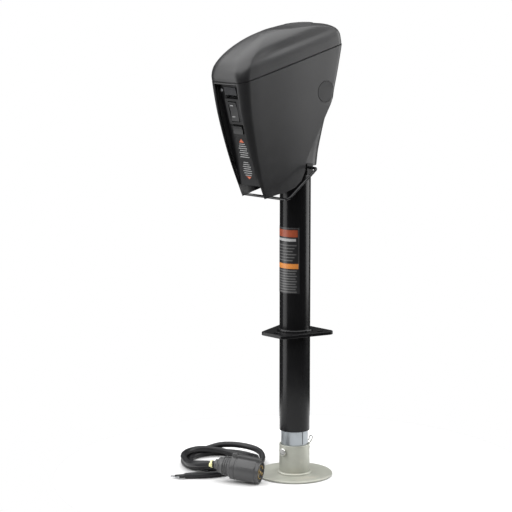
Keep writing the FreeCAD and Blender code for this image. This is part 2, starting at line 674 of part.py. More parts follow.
# round plugs close the two side openings: each sits in a shallow seat in the shell's skin
side_plug_radius = size("side_plug_dia") / 2
side_plug_at = Vector(-70, size("side_plug_y"), size("side_plug_height"))
sideways = Vector(1, 0, 0)
plug_drill = Part.makeCylinder(side_plug_radius - 3, 140, side_plug_at, sideways)
plug_seat = Part.makeCylinder(side_plug_radius + 0.2, 140, side_plug_at, sideways)
inner_skin = lofted(SHELL_LEVELS, size("side_plug_thick"))
shell = shell.cut(plug_drill)
shell = shell.cut(plug_seat.cut(inner_skin))
shape_part("housing_shell", shell.removeSplitter())
plug_disc = Part.makeCylinder(side_plug_radius, 140, side_plug_at, sideways)
plug_disc = plug_disc.common(outside).cut(inner_skin)
shape_part("side_plugs", plug_disc)

# rear neck cover: flares from a collar round the tube up to the head's full width
NECK_LEVELS = [
    (586, 30.0, 37.0, 36.5, 37.0, 2.0, 33.0),
    (612, 30.0, 38.5, 37.5, 38.5, 2.0, 31.0),
    (641, 30.0, 42.0, 40.0, 41.0, 2.0, 28.0),
    (664, 30.0, 45.0, 41.5, 42.5, 2.0, 24.0),
    (687, 30.0, 48.0, 43.8, 44.8, 2.0, 18.0),
    (704, 30.0, 49.0, 44.8, 46.2, 2.0, 13.0),
]
neck = lofted(NECK_LEVELS, 0).cut(lofted(NECK_LEVELS, WALL))
neck_front = Part.makeBox(120, 20, 200, Vector(-60, -45, 560))
neck = neck.cut(neck_front)
neck_floor_points = [Vector(-36.5, -25, 586), Vector(36.5, -25, 586), Vector(37, 37, 586),
                     Vector(-37, 37, 586)]
neck_floor = prism(neck_floor_points, [2.0, 2.0, 33.0, 33.0], Vector(0, 0, 3))
neck_floor = neck_floor.cut(Part.makeCylinder(size("tube_od") / 2 + 0.1, 10, Vector(0, 0, 583)))
neck = neck.fuse(neck_floor).common(lofted(NECK_LEVELS, 0))
neck = neck.cut(shell).removeSplitter()
shape_part("rear_neck_cover", neck)

lid = lofted(LID_LEVELS, 0)
lid_inside = []
for level in LID_LEVELS[:-1]:
    lid_inside.append((level[0] - (WALL if level[0] else 1),) + level[1:])
lid = lid.cut(lofted(lid_inside, WALL))
lid.Placement = seam_place
cap_y = size("cap_centre")
cap_top = size("cap_top")
cap_thick = size("cap_thick")
cap_radius = size("cap_dia") / 2
cap_axis = Vector(0, cap_y, 0)
cap_seat = Part.makeCylinder(cap_radius + 3, 8, cap_axis + Vector(0, 0, cap_top - cap_thick - 6.2))
cap_recess = Part.makeCylinder(cap_radius + 0.3, 40,
                               cap_axis + Vector(0, 0, cap_top - cap_thick - 0.2))
cap_hole = Part.makeCylinder(size("cap_skirt_dia") / 2 + 0.3, 60,
                             cap_axis + Vector(0, 0, cap_top - 50))
outer_lid = lofted(LID_LEVELS, 0)
outer_lid.Placement = seam_place
lid = lid.fuse(cap_seat.common(outer_lid)).cut(cap_recess).cut(cap_hole).removeSplitter()
shape_part("top_lid", lid)

cap = Part.makeCylinder(cap_radius, cap_thick, cap_axis + Vector(0, 0, cap_top - cap_thick))
cap = cap.makeFillet(1.5, [e for e in cap.Edges if e.BoundBox.ZMin > cap_top - 0.1])
skirt_radius = size("cap_skirt_dia") / 2
skirt_bottom = cap_axis + Vector(0, 0, cap_top - cap_thick - 12)
skirt = Part.makeCylinder(skirt_radius, 12, skirt_bottom)
skirt = skirt.cut(Part.makeCylinder(skirt_radius - 2, 12, skirt_bottom))
shape_part("override_cap", cap.fuse(skirt).removeSplitter())

# ---------------------------------------------------------------- switch panel

rocker_half = size("rocker_width") / 2
rocker_long = size("rocker_length") / 2
rocker_at = size("rocker_station")
light_half = size("light_width") / 2
light_long = size("light_length") / 2
light_at = size("light_station")
lens_half = size("lens_width") / 2
lens_long = size("lens_height") / 2
lens_at = size("lens_station")
GAP = 0.6
SWING_GAP = 1.1

panel = panel_block(channel_half - 0.1, 0, panel_length, -panel_thick, 0)
panel = panel.cut(panel_block(rocker_half + 3.2, rocker_at - rocker_long - 3.2,
                              rocker_at + rocker_long + 3.2, -10, 10))
panel = panel.cut(panel_block(light_half + GAP, light_at - light_long - GAP,
                              light_at + light_long + GAP, -10, 10))
panel = panel.cut(panel_block(lens_half, lens_at - lens_long, lens_at + lens_long, -10, 10))
panel = panel.cut(above_seam)
shape_part("switch_panel", panel)

frame = panel_block(rocker_half + 8, rocker_at - rocker_long - 6, rocker_at + rocker_long + 6,
                    0, 3, 3.0)
frame = frame.fuse(panel_block(rocker_half + 3, rocker_at - rocker_long - 3,
                               rocker_at + rocker_long + 3, -16, 0.5))
frame = frame.cut(panel_block(rocker_half + GAP, rocker_at - rocker_long - SWING_GAP,
                              rocker_at + rocker_long + SWING_GAP, -14, 5))
shape_part("switch_frame", frame.removeSplitter())

light_case = panel_block(light_half + 2, light_at - light_long - 2, light_at + light_long + 2, -15,
                         -panel_thick)
light_case = light_case.cut(panel_block(light_half + GAP, light_at - light_long - GAP,
                                        light_at + light_long + GAP, -13, 5))
shape_part("light_switch_case", light_case)


def rocker(half_width, half_length, station, dip):
    """A rocker cap: two flat facets that meet in a shallow valley, on a curved back."""
    outline = [on_panel(-half_width, station - half_length, 4.0),
               on_panel(-half_width, station, 4.0 - dip),
               on_panel(-half_width, station + half_length, 4.0),
               on_panel(-half_width, station + half_length - 2, -3.0),
               on_panel(-half_width, station + 4, -8.0),
               on_panel(-half_width, station - 4, -8.0),
               on_panel(-half_width, station - half_length + 2, -3.0)]
    return Part.Face(Part.makePolygon(outline + outline[:1])).extrude(Vector(2 * half_width, 0, 0))


shape_part("updown_rocker", rocker(rocker_half, rocker_long, rocker_at, 1.8))
shape_part("light_rocker", rocker(light_half, light_long, light_at, 1.0))

lens = panel_block(lens_half, lens_at - lens_long, lens_at + lens_long, -panel_thick, 2.0)
shape_part("led_lens", lens.cut(above_seam))
board = panel_block(lens_half - 2, lens_at - 14, lens_at + 2, -panel_thick - 6, -panel_thick - 4.4)
shape_part("led_board", board.cut(above_seam))
shape_part("panel_label", panel_block(18, 12, 92, 0, 0.4, 2.0))
screw_spot = on_panel(-22, lens_at + 1, 0)
panel_screw = Part.makeCylinder(2.8, 2.0, screw_spot, panel_out)
shape_part("panel_screw", panel_screw.cut(above_seam))

# printed label wrapped round the front of the outer tube
label_inner = size("tube_od") / 2
label_bottom = Vector(0, 0, size("label_bottom"))
label_ring = Part.makeCylinder(label_inner + size("label_thick"), size("label_height"), label_bottom)
label_ring = label_ring.cut(Part.makeCylinder(label_inner, size("label_height"), label_bottom))
half_angle = size("label_half_angle")
sector_points = [label_bottom]
for turn in (-half_angle, -half_angle / 3, half_angle / 3, half_angle):
    way = math.radians(turn - 90)
    sector_points.append(label_bottom + Vector(math.cos(way), math.sin(way), 0) * 60)
sector = Part.Face(Part.makePolygon(sector_points + sector_points[:1]))
sector = sector.extrude(Vector(0, 0, size("label_height")))
shape_part("tube_label", label_ring.common(sector))

# ---------------------------------------------------------------- bail and its bracket

bail_radius = size("bail_wire") / 2
pivot_y = size("bail_pivot_y")
pivot_height = size("bail_pivot_height")
bail_half = size("bail_half")
reach_y = -size("bail_reach_y")
reach_height = size("bail_reach_height")
ear_half = size("bracket_ear_half")
bail_points = [
    Vector(-ear_half + 4, pivot_y, pivot_height),
    Vector(-bail_half, pivot_y, pivot_height),
    Vector(-bail_half, reach_y, reach_height),
    Vector(bail_half, reach_y, reach_height),
    Vector(bail_half, pivot_y, pivot_height),
    Vector(ear_half - 4, pivot_y, pivot_height),
]
bail, _ = tube_along(bail_points, [5.0, 9.0, 9.0, 5.0], size("bail_wire"))
shape_part("harness_bail", bail)

# a strap round the tube with an ear at each side, where the bail's ends turn
bracket_bottom = Vector(0, 0, size("bracket_bottom"))
ear_thick = size("bracket_ear_thick")
bracket = Part.makeCylinder(size("tube_od") / 2 + 3, 12, bracket_bottom)
bracket_depth = size("bracket_depth")
bracket_front = pivot_y - bracket_depth / 2
strap_corner = bracket_bottom + Vector(-ear_half - ear_thick / 2, bracket_front, 0)
bracket = bracket.fuse(Part.makeBox(2 * ear_half + ear_thick, bracket_depth, 3, strap_corner))
for side in (-1, 1):
    ear_corner = bracket_bottom + Vector(side * ear_half - ear_thick / 2, bracket_front, 0)
    ear = Part.makeBox(ear_thick, bracket_depth, size("bracket_ear_height"), ear_corner)
    bracket = bracket.fuse(ear)
bracket = bracket.cut(Part.makeCylinder(size("tube_od") / 2, 30, bracket_bottom - Vector(0, 0, 5)))
pivot_line = Vector(-bail_half, pivot_y, pivot_height)
bracket = bracket.cut(Part.makeCylinder(bail_radius + 0.1, 2 * bail_half, pivot_line, sideways))
shape_part("bail_bracket", bracket.removeSplitter())

# ---------------------------------------------------------------- harness on the ground

# the harness is laid out on a ground plan turned 45 degrees: across runs to +X+Y, away to -X+Y
across = Vector(1, 1, 0).normalize()
away = Vector(-1, 1, 0).normalize()
cable = size("cable_dia")


def ground(across_mm, away_mm, height):
    """A point of the ground plan, measured from the tube axis."""
    return across * across_mm + away * away_mm + Vector(0, 0, height)


def widest_arcs(points):
    """For each inner point of a route, the largest tangent arc that its two runs allow."""
    radii = []
    for before, corner, after in zip(points, points[1:], points[2:]):
        arriving = corner - before
        leaving = after - corner
        half_turn = arriving.getAngle(leaving) / 2
        radii.append(0.45 * min(arriving.Length, leaving.Length) / math.tan(half_turn))
    return radii


def cord(label, points):
    """A cable's plain solid along a route; prints its bend radii and length."""
    radii = widest_arcs(points)
    solid, length = tube_along(points, radii, cable)
    print(label, "radii", [round(r) for r in radii], "length", round(length, 1))
    return shape_part(label, solid)


coil_centre = ground(size("coil_across"), size("coil_away"), 0)
coil_height = size("coil_height")
coil = Part.makeCylinder(size("coil_outer"), coil_height, coil_centre)
coil = coil.cut(Part.makeCylinder(size("coil_inner"), coil_height, coil_centre))
coil = coil.makeFillet(5.0, [e for e in coil.Edges if e.BoundBox.ZMin > coil_height - 0.1])
shape_part("harness_coil", coil)

# plug end of the cable: from the plug's back, round to the left and into the coil
PLUG_ROUTE = [ground(-147, -44, 31), ground(-166, -38.5, 30), ground(-182.5, -27.5, 27),
              ground(-195.5, -10.5, 22), ground(-202, 10, 18)]
# bare end: out of the coil in front, past the plug and away to the left
LEAD_ROUTE = [ground(-107, 2, 6), ground(-128, -13.5, 6), ground(-149.5, -25.5, 6),
              ground(-171, -32.5, 6), ground(-191, -34, 6)]
cord("harness_plug_end", PLUG_ROUTE)
cord("harness_lead_end", LEAD_ROUTE)

# seven-way plug: barrel, tapered back and a latch rib on top, nose down on the ground
plug_radius = size("plug_dia") / 2
plug_back = PLUG_ROUTE[0]
plug_nose = ground(-62, -72, 22.6)
plug_way = (plug_nose - plug_back).normalize()
plug_length = (plug_nose - plug_back).Length
plug_place = Placement(plug_back, Rotation(plug_way, Vector(0, 0, 1).cross(plug_way),
                                           Vector(0, 0, 1), "XZY"))
taper_length = plug_length - size("plug_barrel")
along = Vector(1, 0, 0)
back_shell = Part.makeCone(size("plug_neck_dia") / 2, 18.5, taper_length, Vector(0, 0, 0), along)
barrel = Part.makeCylinder(plug_radius, size("plug_barrel"), Vector(taper_length, 0, 0), along)
barrel = barrel.makeFillet(1.2, [e for e in barrel.Edges if len(e.Vertexes) == 1])
face_recess = Part.makeCylinder(plug_radius - 3, 3, Vector(plug_length - 3, 0, 0), along)
rib_width = size("rib_width")
rib = Part.makeBox(52, rib_width, plug_radius + size("rib_height"),
                   Vector(taper_length + 3, -rib_width / 2, 0))
catch = Part.makeBox(5, rib_width, plug_radius + 5.5, Vector(taper_length + 3, -rib_width / 2, 0))
plug = barrel.fuse([back_shell, rib, catch]).cut(face_recess).removeSplitter()
shape_part("plug_body", plug, plug_place)

contacts = []
CONTACT_COUNT = 6
for i in range(CONTACT_COUNT):
    turn = 2 * math.pi * i / CONTACT_COUNT
    blade = Part.makeBox(2.5, 6.5, 1.6, Vector(plug_length - 3, -3.25, 11.5))
    blade.rotate(Vector(0, 0, 0), along, math.degrees(turn))
    contacts.append(blade)
contacts.append(Part.makeCylinder(2.6, 2.5, Vector(plug_length - 3, 0, 0), along))
shape_part("plug_contacts", Part.makeCompound(contacts), plug_place)

# cable tie round the cable behind the plug, with its square head
tie_at = PLUG_ROUTE[0] + (PLUG_ROUTE[1] - PLUG_ROUTE[0]) * 0.25
tie_way = (PLUG_ROUTE[1] - PLUG_ROUTE[0]).normalize()
band = Part.makeCylinder(cable / 2 + 1.2, 4, tie_at, tie_way)
band = band.cut(Part.makeCylinder(cable / 2, 4, tie_at, tie_way))
tie_head = Part.makeBox(6, 5, 5, Vector(-3, 0, -2.5))
tie_head.Placement = Placement(tie_at + tie_way * 2 - away * (cable / 2 + 5.4),
                               Rotation(Vector(0, 0, 1), 45))
tie_head = tie_head.cut(Part.makeCylinder(cable / 2 + 0.4, 20, tie_at - tie_way * 8, tie_way))
shape_part("cable_tie", band.fuse(tie_head).removeSplitter())

# sleeve that splits the cable into its two leads, each ending in a crimped ring terminal
lead_way = (LEAD_ROUTE[-1] - LEAD_ROUTE[-2] - Vector(0, 0, 1.2)).normalize()
lead_side = Vector(0, 0, 1).cross(lead_way).normalize()
split = LEAD_ROUTE[-1]
boot = Part.makeCone(cable / 2, 5.1, 14, split, lead_way)
shape_part("lead_boot", boot)


def terminal(side, reach):
    """A sleeved crimp barrel and a flat ring, lying beside the other lead."""
    start = split + lead_way * 14 + lead_side * side
    sleeve = Part.makeCylinder(2.6, reach, start, lead_way)
    tip = start + lead_way * (reach + 4.4)
    tongue = Part.makeBox(7, 5, 1.0, Vector(-3.5, -2.5, -0.5))
    tongue.Placement = Placement(start + lead_way * (reach + 0.5), Rotation(Vector(1, 0, 0), lead_way))
    eye = Part.makeCylinder(4.4, 1.0, tip - Vector(0, 0, 0.5))
    hole = Part.makeCylinder(2.6, 3.0, tip - Vector(0, 0, 1.5))
    return sleeve, tongue.cut(sleeve).fuse(eye.cut(sleeve)).cut(hole)


sleeves = []
eyes = []
for side, reach in ((-4.2, 18.0), (4.2, 10.0)):
    sleeve, eye = terminal(side, reach)
    sleeves.append(sleeve)
    eyes.append(eye)
shape_part("terminal_sleeves", Part.makeCompound(sleeves))
shape_part("ring_terminals", Part.makeCompound(eyes))

# ---------------------------------------------------------------- check and write

doc.recompute()
for obj in doc.Objects:
    if "Invalid" in obj.State or "Error" in obj.State:
        raise RuntimeError(f"{obj.Name} failed to build: {obj.State}")
for obj in finished:
    if obj.Shape.isNull() or not obj.Shape.isValid():
        raise RuntimeError(f"{obj.Label} has no valid shape")
for obj in finished:
    obj.Shape.exportStep(f"parts/{obj.Label}.step")
    corner = obj.Shape.BoundBox
    print(f"{obj.Label:20s} {len(obj.Shape.Solids):2d} solids {obj.Shape.Volume:11.1f} mm3"
          f"  z {corner.ZMin:7.1f} to {corner.ZMax:7.1f}")
print(len(finished), "pieces")
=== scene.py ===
"""Looks for the electric trailer tongue jack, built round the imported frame.

Sizes are written in millimetres and turned into metres by MM. +Z is up along the tube, and the
switch panel faces -Y.
"""

import json
import math

import bmesh
import bpy
from mathutils import Matrix, Vector

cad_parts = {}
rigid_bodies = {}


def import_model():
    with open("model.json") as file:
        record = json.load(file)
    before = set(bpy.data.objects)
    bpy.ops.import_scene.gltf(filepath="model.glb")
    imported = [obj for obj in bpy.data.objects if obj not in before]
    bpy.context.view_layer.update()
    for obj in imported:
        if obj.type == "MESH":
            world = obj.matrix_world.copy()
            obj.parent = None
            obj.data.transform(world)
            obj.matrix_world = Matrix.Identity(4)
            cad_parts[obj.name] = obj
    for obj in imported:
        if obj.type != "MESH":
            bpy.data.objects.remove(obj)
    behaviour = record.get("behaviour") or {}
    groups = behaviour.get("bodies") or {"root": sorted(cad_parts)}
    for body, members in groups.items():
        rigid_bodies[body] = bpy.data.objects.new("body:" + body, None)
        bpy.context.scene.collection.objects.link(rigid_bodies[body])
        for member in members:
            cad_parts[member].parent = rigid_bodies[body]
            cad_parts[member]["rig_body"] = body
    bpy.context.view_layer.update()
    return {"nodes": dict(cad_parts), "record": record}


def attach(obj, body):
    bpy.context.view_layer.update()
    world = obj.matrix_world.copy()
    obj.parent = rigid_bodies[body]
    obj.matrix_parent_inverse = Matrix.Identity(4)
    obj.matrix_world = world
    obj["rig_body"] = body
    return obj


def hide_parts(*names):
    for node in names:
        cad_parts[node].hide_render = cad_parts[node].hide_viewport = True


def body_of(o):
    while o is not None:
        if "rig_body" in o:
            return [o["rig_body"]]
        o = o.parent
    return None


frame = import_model()
nodes = frame["nodes"]
scene = bpy.context.scene

MM = 0.001


def link_aimed(thing, way):
    """Links a camera or lamp that looks along a direction."""
    thing.rotation_mode = "QUATERNION"
    thing.rotation_quaternion = way.to_track_quat("-Z", "Y")
    scene.collection.objects.link(thing)


# ---------------------------------------------------------------- camera

VIEW_TURN = math.radians(44.7)
CAMERA_DISTANCE = 3652
CAMERA_HEIGHT = 1024
CAMERA_LENS = 140.85
AIM_ACROSS = -72.2
AIM_HEIGHT = 415.4

sight_across = Vector((math.cos(VIEW_TURN), math.sin(VIEW_TURN), 0))
sight_away = Vector((-math.sin(VIEW_TURN), math.cos(VIEW_TURN), 0))
eye = (sight_away * -CAMERA_DISTANCE + Vector((0, 0, CAMERA_HEIGHT))) * MM
aim = (sight_across * AIM_ACROSS + Vector((0, 0, AIM_HEIGHT))) * MM
camera_data = bpy.data.cameras.new("Camera")
camera_data.lens = CAMERA_LENS
camera = bpy.data.objects.new("Camera", camera_data)
camera.location = eye
link_aimed(camera, aim - eye)
scene.camera = camera

# ---------------------------------------------------------------- materials

made_finishes = {}


def node_of(tree, kind):
    """The first node of a kind in a node tree."""
    return next(n for n in tree.nodes if n.type == kind)


def noise(tree, vector, scale, detail):
    """The value of a noise texture on the given coordinates."""
    texture = tree.nodes.new("ShaderNodeTexNoise")
    texture.inputs["Scale"].default_value = scale
    texture.inputs["Detail"].default_value = detail
    tree.links.new(vector, texture.inputs["Vector"])
    return texture.outputs["Fac"]


def finish(name, colour, roughness, metallic=0.0, mottle=0.12, mottle_scale=60.0, grain=0.0,
           grain_scale=900.0, stretch=(1, 1, 1), rough_change=0.06, shine=0.5, spots=None):
    """A procedural finish: mottled colour, uneven roughness and a bump of fine grain.

    mottle is the colour's change either way, grain the bump's height in millimetres, shine the
    specular level, and spots an optional (colour, share, scale) for stains or wear.
    """
    material = bpy.data.materials.new(name)
    material.use_nodes = True
    tree = material.node_tree
    shader = node_of(tree, "BSDF_PRINCIPLED")
    link = tree.links.new
    place = tree.nodes.new("ShaderNodeTexCoord").outputs["Object"]
    spread = tree.nodes.new("ShaderNodeMapping")
    spread.inputs["Scale"].default_value = stretch
    link(place, spread.inputs["Vector"])

    cloud = noise(tree, spread.outputs["Vector"], mottle_scale, 5)
    tint = tree.nodes.new("ShaderNodeValToRGB")
    for stop, position, change in zip(tint.color_ramp.elements, (0.3, 0.7), (-mottle, mottle)):
        stop.position = position
        stop.color = tuple(min(1, c * (1 + change)) for c in colour) + (1,)
    link(cloud, tint.inputs["Fac"])
    colour_out = tint.outputs["Color"]
    if spots:
        stain_colour, share, scale = spots
        edge = tree.nodes.new("ShaderNodeMapRange")
        edge.inputs["From Min"].default_value = 0.62 - share
        edge.inputs["From Max"].default_value = 0.80 - share
        link(noise(tree, place, scale, 6), edge.inputs["Value"])
        blend = tree.nodes.new("ShaderNodeMix")
        blend.data_type = "RGBA"
        blend.inputs["B"].default_value = tuple(stain_colour) + (1,)
        link(edge.outputs["Result"], blend.inputs["Factor"])
        link(colour_out, blend.inputs["A"])
        colour_out = blend.outputs["Result"]
    link(colour_out, shader.inputs["Base Color"])

    gloss = tree.nodes.new("ShaderNodeMapRange")
    gloss.inputs["To Min"].default_value = max(0.03, roughness - rough_change)
    gloss.inputs["To Max"].default_value = min(1.0, roughness + rough_change)
    link(cloud, gloss.inputs["Value"])
    link(gloss.outputs["Result"], shader.inputs["Roughness"])
    shader.inputs["Metallic"].default_value = metallic
    shader.inputs["Specular IOR Level"].default_value = shine
    if grain:
        bump = tree.nodes.new("ShaderNodeBump")
        bump.inputs["Strength"].default_value = 0.6
        bump.inputs["Distance"].default_value = grain * MM
        link(noise(tree, spread.outputs["Vector"], grain_scale, 3), bump.inputs["Height"])
        link(bump.outputs["Normal"], shader.inputs["Normal"])
    made_finishes[name] = material
    return material


finish("grey_plastic", (0.022, 0.022, 0.023), 0.38, mottle=0.05, grain=0.10, grain_scale=1500)
finish("cap_plastic", (0.018, 0.018, 0.019), 0.50, mottle=0.05, grain=0.10, grain_scale=1500)
finish("panel_plastic", (0.010, 0.010, 0.011), 0.42, mottle=0.08, grain=0.05, grain_scale=1800,
       shine=0.25)
finish("rocker_plastic", (0.016, 0.016, 0.017), 0.34, mottle=0.05, grain=0.03, grain_scale=1800,
       shine=0.3)
finish("black_powder", (0.0065, 0.0065, 0.0070), 0.22, mottle=0.06, grain=0.06, grain_scale=420,
       rough_change=0.05, shine=0.22)
finish("black_wire", (0.008, 0.008, 0.009), 0.20, mottle=0.06, grain=0.04, grain_scale=600,
       shine=0.4)
finish("zinc_foot", (0.36, 0.365, 0.32), 0.48, metallic=0.5, mottle=0.07, mottle_scale=45,
       grain=0.05, grain_scale=700, rough_change=0.10, spots=((0.44, 0.42, 0.36), 0.05, 30))
finish("zinc_leg", (0.33, 0.355, 0.375), 0.34, metallic=0.85, mottle=0.10, mottle_scale=70,
       grain=0.06, grain_scale=900, stretch=(1, 1, 0.06), rough_change=0.10)
finish("plated_pin", (0.66, 0.66, 0.64), 0.26, metallic=1.0, mottle=0.06, grain=0.03)
finish("bare_steel", (0.48, 0.49, 0.50), 0.32, metallic=1.0, mottle=0.08, grain=0.03,
       stretch=(1, 1, 0.2))
finish("bronze", (0.52, 0.34, 0.15), 0.36, metallic=1.0, mottle=0.10, grain=0.03)
finish("copper", (0.62, 0.30, 0.17), 0.30, metallic=1.0, mottle=0.10, grain=0.03)
finish("brass_contact", (0.72, 0.52, 0.24), 0.25, metallic=1.0, mottle=0.08, grain=0.02)
finish("die_cast", (0.46, 0.47, 0.48), 0.52, metallic=0.9, mottle=0.10, grain=0.12, grain_scale=700)
finish("motor_paint", (0.03, 0.03, 0.033), 0.40, mottle=0.08, grain=0.05, grain_scale=500)
finish("magnet", (0.05, 0.05, 0.053), 0.6, metallic=0.3, mottle=0.15, grain=0.06)
finish("armature_iron", (0.20, 0.13, 0.07), 0.5, metallic=0.4, mottle=0.25, mottle_scale=200,
       grain=0.2, grain_scale=600)
finish("board", (0.03, 0.14, 0.06), 0.45, mottle=0.15, mottle_scale=300, grain=0.03)
finish("panel_print", (0.009, 0.009, 0.010), 0.40, mottle=0.05, grain=0.01, shine=0.2)
finish("tube_print", (0.016, 0.016, 0.017), 0.33, mottle=0.05, grain=0.01)
finish("print_orange", (0.62, 0.13, 0.05), 0.42, mottle=0.06, mottle_scale=400, grain=0.01)
finish("print_rust", (0.30, 0.060, 0.022), 0.42, mottle=0.20, mottle_scale=700, grain=0.01)
finish("print_amber", (0.58, 0.21, 0.040), 0.42, mottle=0.12, mottle_scale=500, grain=0.01)
finish("print_pale", (0.36, 0.36, 0.36), 0.45, mottle=0.45, mottle_scale=1400, grain=0.01)
finish("print_grey", (0.11, 0.11, 0.11), 0.45, mottle=0.45, mottle_scale=1400, grain=0.01)
finish("cable_jacket", (0.009, 0.009, 0.010), 0.42, mottle=0.12, grain=0.10, grain_scale=500,
       shine=0.3)
finish("plug_shell", (0.040, 0.040, 0.041), 0.38, mottle=0.06, grain=0.05, grain_scale=1400)
finish("tie_nylon", (0.72, 0.70, 0.36), 0.42, mottle=0.06, grain=0.03)

# the smoked lens has fine upright ribs
lens_tree = finish("lens", (0.060, 0.061, 0.065), 0.30, mottle=0.15, mottle_scale=500).node_tree
ribs = lens_tree.nodes.new("ShaderNodeTexWave")
ribs.bands_direction = "X"
ribs.inputs["Scale"].default_value = 160
rib_bump = lens_tree.nodes.new("ShaderNodeBump")
rib_bump.inputs["Distance"].default_value = 0.5 * MM
lens_tree.links.new(node_of(lens_tree, "TEX_COORD").outputs["Object"], ribs.inputs["Vector"])
lens_tree.links.new(ribs.outputs["Fac"], rib_bump.inputs["Height"])
lens_tree.links.new(rib_bump.outputs["Normal"],
                    node_of(lens_tree, "BSDF_PRINCIPLED").inputs["Normal"])

slot_of = {part["node"]: part["material_slot"] for part in frame["record"]["subparts"]}
for node_name, node in nodes.items():
    node.data.materials.clear()
    node.data.materials.append(made_finishes[slot_of[node_name]])

# ---------------------------------------------------------------- making pieces

# points closer than these, in metres, are joined; a CAD mesh's flats bend less than CAD_FLAT
AXIS_JOIN = 1e-7
CAD_JOIN = 2e-6
CAD_FLAT = math.radians(1.5)


def rework(mesh, join=0.0, flat=0.0, outwards=False):
    """Joins near points, dissolves edges flatter than an angle, and turns the faces outwards."""
    work = bmesh.new()
    work.from_mesh(mesh)
    if join:
        bmesh.ops.remove_doubles(work, verts=work.verts, dist=join)
    if flat:
        bmesh.ops.dissolve_limit(work, angle_limit=flat, verts=work.verts, edges=work.edges)
    if outwards:
        bmesh.ops.recalc_face_normals(work, faces=work.faces)
    work.to_mesh(mesh)
    work.free()


def band_faces(rings, count, closed=False):
    """The faces between successive rings of points, and from the last to the first if closed."""
    faces = []
    for ring in range(rings if closed else rings - 1):
        here = ring * count
        there = (ring + 1) % rings * count
        for i in range(count):
            j = (i + 1) % count
            faces.append((here + i, here + j, there + j, there + i))
    return faces


def new_object(name, points, faces):
    """A mesh object from points in millimetres, with its faces turned outwards."""
    mesh = bpy.data.meshes.new(name)
    mesh.from_pydata([Vector(p) * MM for p in points], [], faces)
    rework(mesh, outwards=True)
    piece = bpy.data.objects.new(name, mesh)
    scene.collection.objects.link(piece)
    return piece


def settle(piece):
    """Applies the modifiers that a piece has."""
    evaluated = piece.evaluated_get(bpy.context.evaluated_depsgraph_get())
    piece.data = bpy.data.meshes.new_from_object(evaluated)
    piece.modifiers.clear()


def carve(piece, tool, operation="DIFFERENCE"):
    """Cuts, joins or intersects a piece with a tool, and removes the tool."""
    modifier = piece.modifiers.new("carve", "BOOLEAN")
    modifier.operation = operation
    modifier.solver = "EXACT"
    modifier.object = tool
    settle(piece)
    bpy.data.objects.remove(tool)


def soften(piece, width, segments=3, angle=35):
    """Rounds the sharp edges and keeps the flats flat."""
    rounding = piece.modifiers.new("rounding", "BEVEL")
    rounding.width = width * MM
    rounding.segments = segments
    rounding.limit_method = "ANGLE"
    rounding.angle_limit = math.radians(angle)
    rounding.miter_outer = "MITER_ARC"
    flats = piece.modifiers.new("flats", "WEIGHTED_NORMAL")
    flats.keep_sharp = True
    piece.data.shade_smooth()
    settle(piece)


def dress(piece, body, slot_name, stands_for=(), coat=None, crisp=40):
    """Gives a piece its shading, its finish (the material slot's, or a coat's) and its body, and
    hides the CAD nodes it stands for.
    """
    if piece.type == "MESH" and crisp:
        piece.data.shade_smooth()
        piece.data.set_sharp_from_angle(angle=math.radians(crisp))
    piece.data.materials.clear()
    piece.data.materials.append(made_finishes[coat or slot_name])
    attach(piece, body)
    if stands_for:
        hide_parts(*stands_for)
    return piece


def skin(name, rings):
    """A closed solid through rings of equally many points, capped at both ends."""
    count = len(rings[0])
    points = [p for ring in rings for p in ring]
    faces = band_faces(len(rings), count)
    faces.append(tuple(range(count))[::-1])
    faces.append(tuple((len(rings) - 1) * count + i for i in range(count)))
    return new_object(name, points, faces)


def rounded(corners, radii, steps=6):
    """A closed flat outline whose corners are tangent arcs."""
    outline = []
    count = len(corners)
    for i in range(count):
        corner = Vector(corners[i])
        back = (Vector(corners[i - 1]) - corner).normalized()
        ahead = (Vector(corners[(i + 1) % count]) - corner).normalized()
        half = back.angle(ahead) / 2
        if radii[i] <= 0:
            outline.append(corner)
            continue
        reach = radii[i] / math.tan(half)
        centre = corner + (back + ahead).normalized() * (radii[i] / math.sin(half))
        first = corner + back * reach - centre
        last = corner + ahead * reach - centre
        turn = first.angle_signed(last)
        for k in range(steps + 1):
            spin = Matrix.Rotation(-turn * k / steps, 2)
            outline.append(centre + spin @ first)
    return outline


def lathe(name, outline, origin=(0, 0, 0), way=(0, 0, 1), segments=96):
    """Turns a closed outline of (radius, height) about an axis."""
    spin = Vector(way).to_track_quat("Z", "Y")
    origin = Vector(origin)
    points = []
    for k in range(segments):
        turn = 2 * math.pi * k / segments
        for radius, height in outline:
            local = Vector((radius * math.cos(turn), radius * math.sin(turn), height))
            points.append(origin + spin @ local)
    piece = new_object(name, points, band_faces(segments, len(outline), closed=True))
    rework(piece.data, join=AXIS_JOIN, outwards=True)
    return piece


def tube_outline(outer, inner, bottom, top, corner):
    """The section of an upright pipe wall with rounded ends."""
    corners = [(inner, bottom), (outer, bottom), (outer, top), (inner, top)]
    return rounded(corners, [corner] * 4, 4)


def solid_outline(radius, bottom, top, corner):
    """The section of an upright disc or rod with rounded rims."""
    corners = [(0, bottom), (radius, bottom), (radius, top), (0, top)]
    return rounded(corners, [0, corner, corner, 0], 5)


def block(name, low, high):
    """A plain box between two corners, used as a cutting tool."""
    points = [(x, y, z) for x in (low[0], high[0]) for y in (low[1], high[1])
              for z in (low[2], high[2])]
    faces = [(0, 1, 3, 2), (4, 6, 7, 5), (0, 4, 5, 1), (2, 3, 7, 6), (0, 2, 6, 4), (1, 5, 7, 3)]
    return new_object(name, points, faces)


def across_prism(name, outline, half=90):
    """A prism right across the head whose outline is (y, z)."""
    left = [(-half, y, z) for y, z in outline]
    right = [(half, y, z) for y, z in outline]
    return skin(name, [left, right])


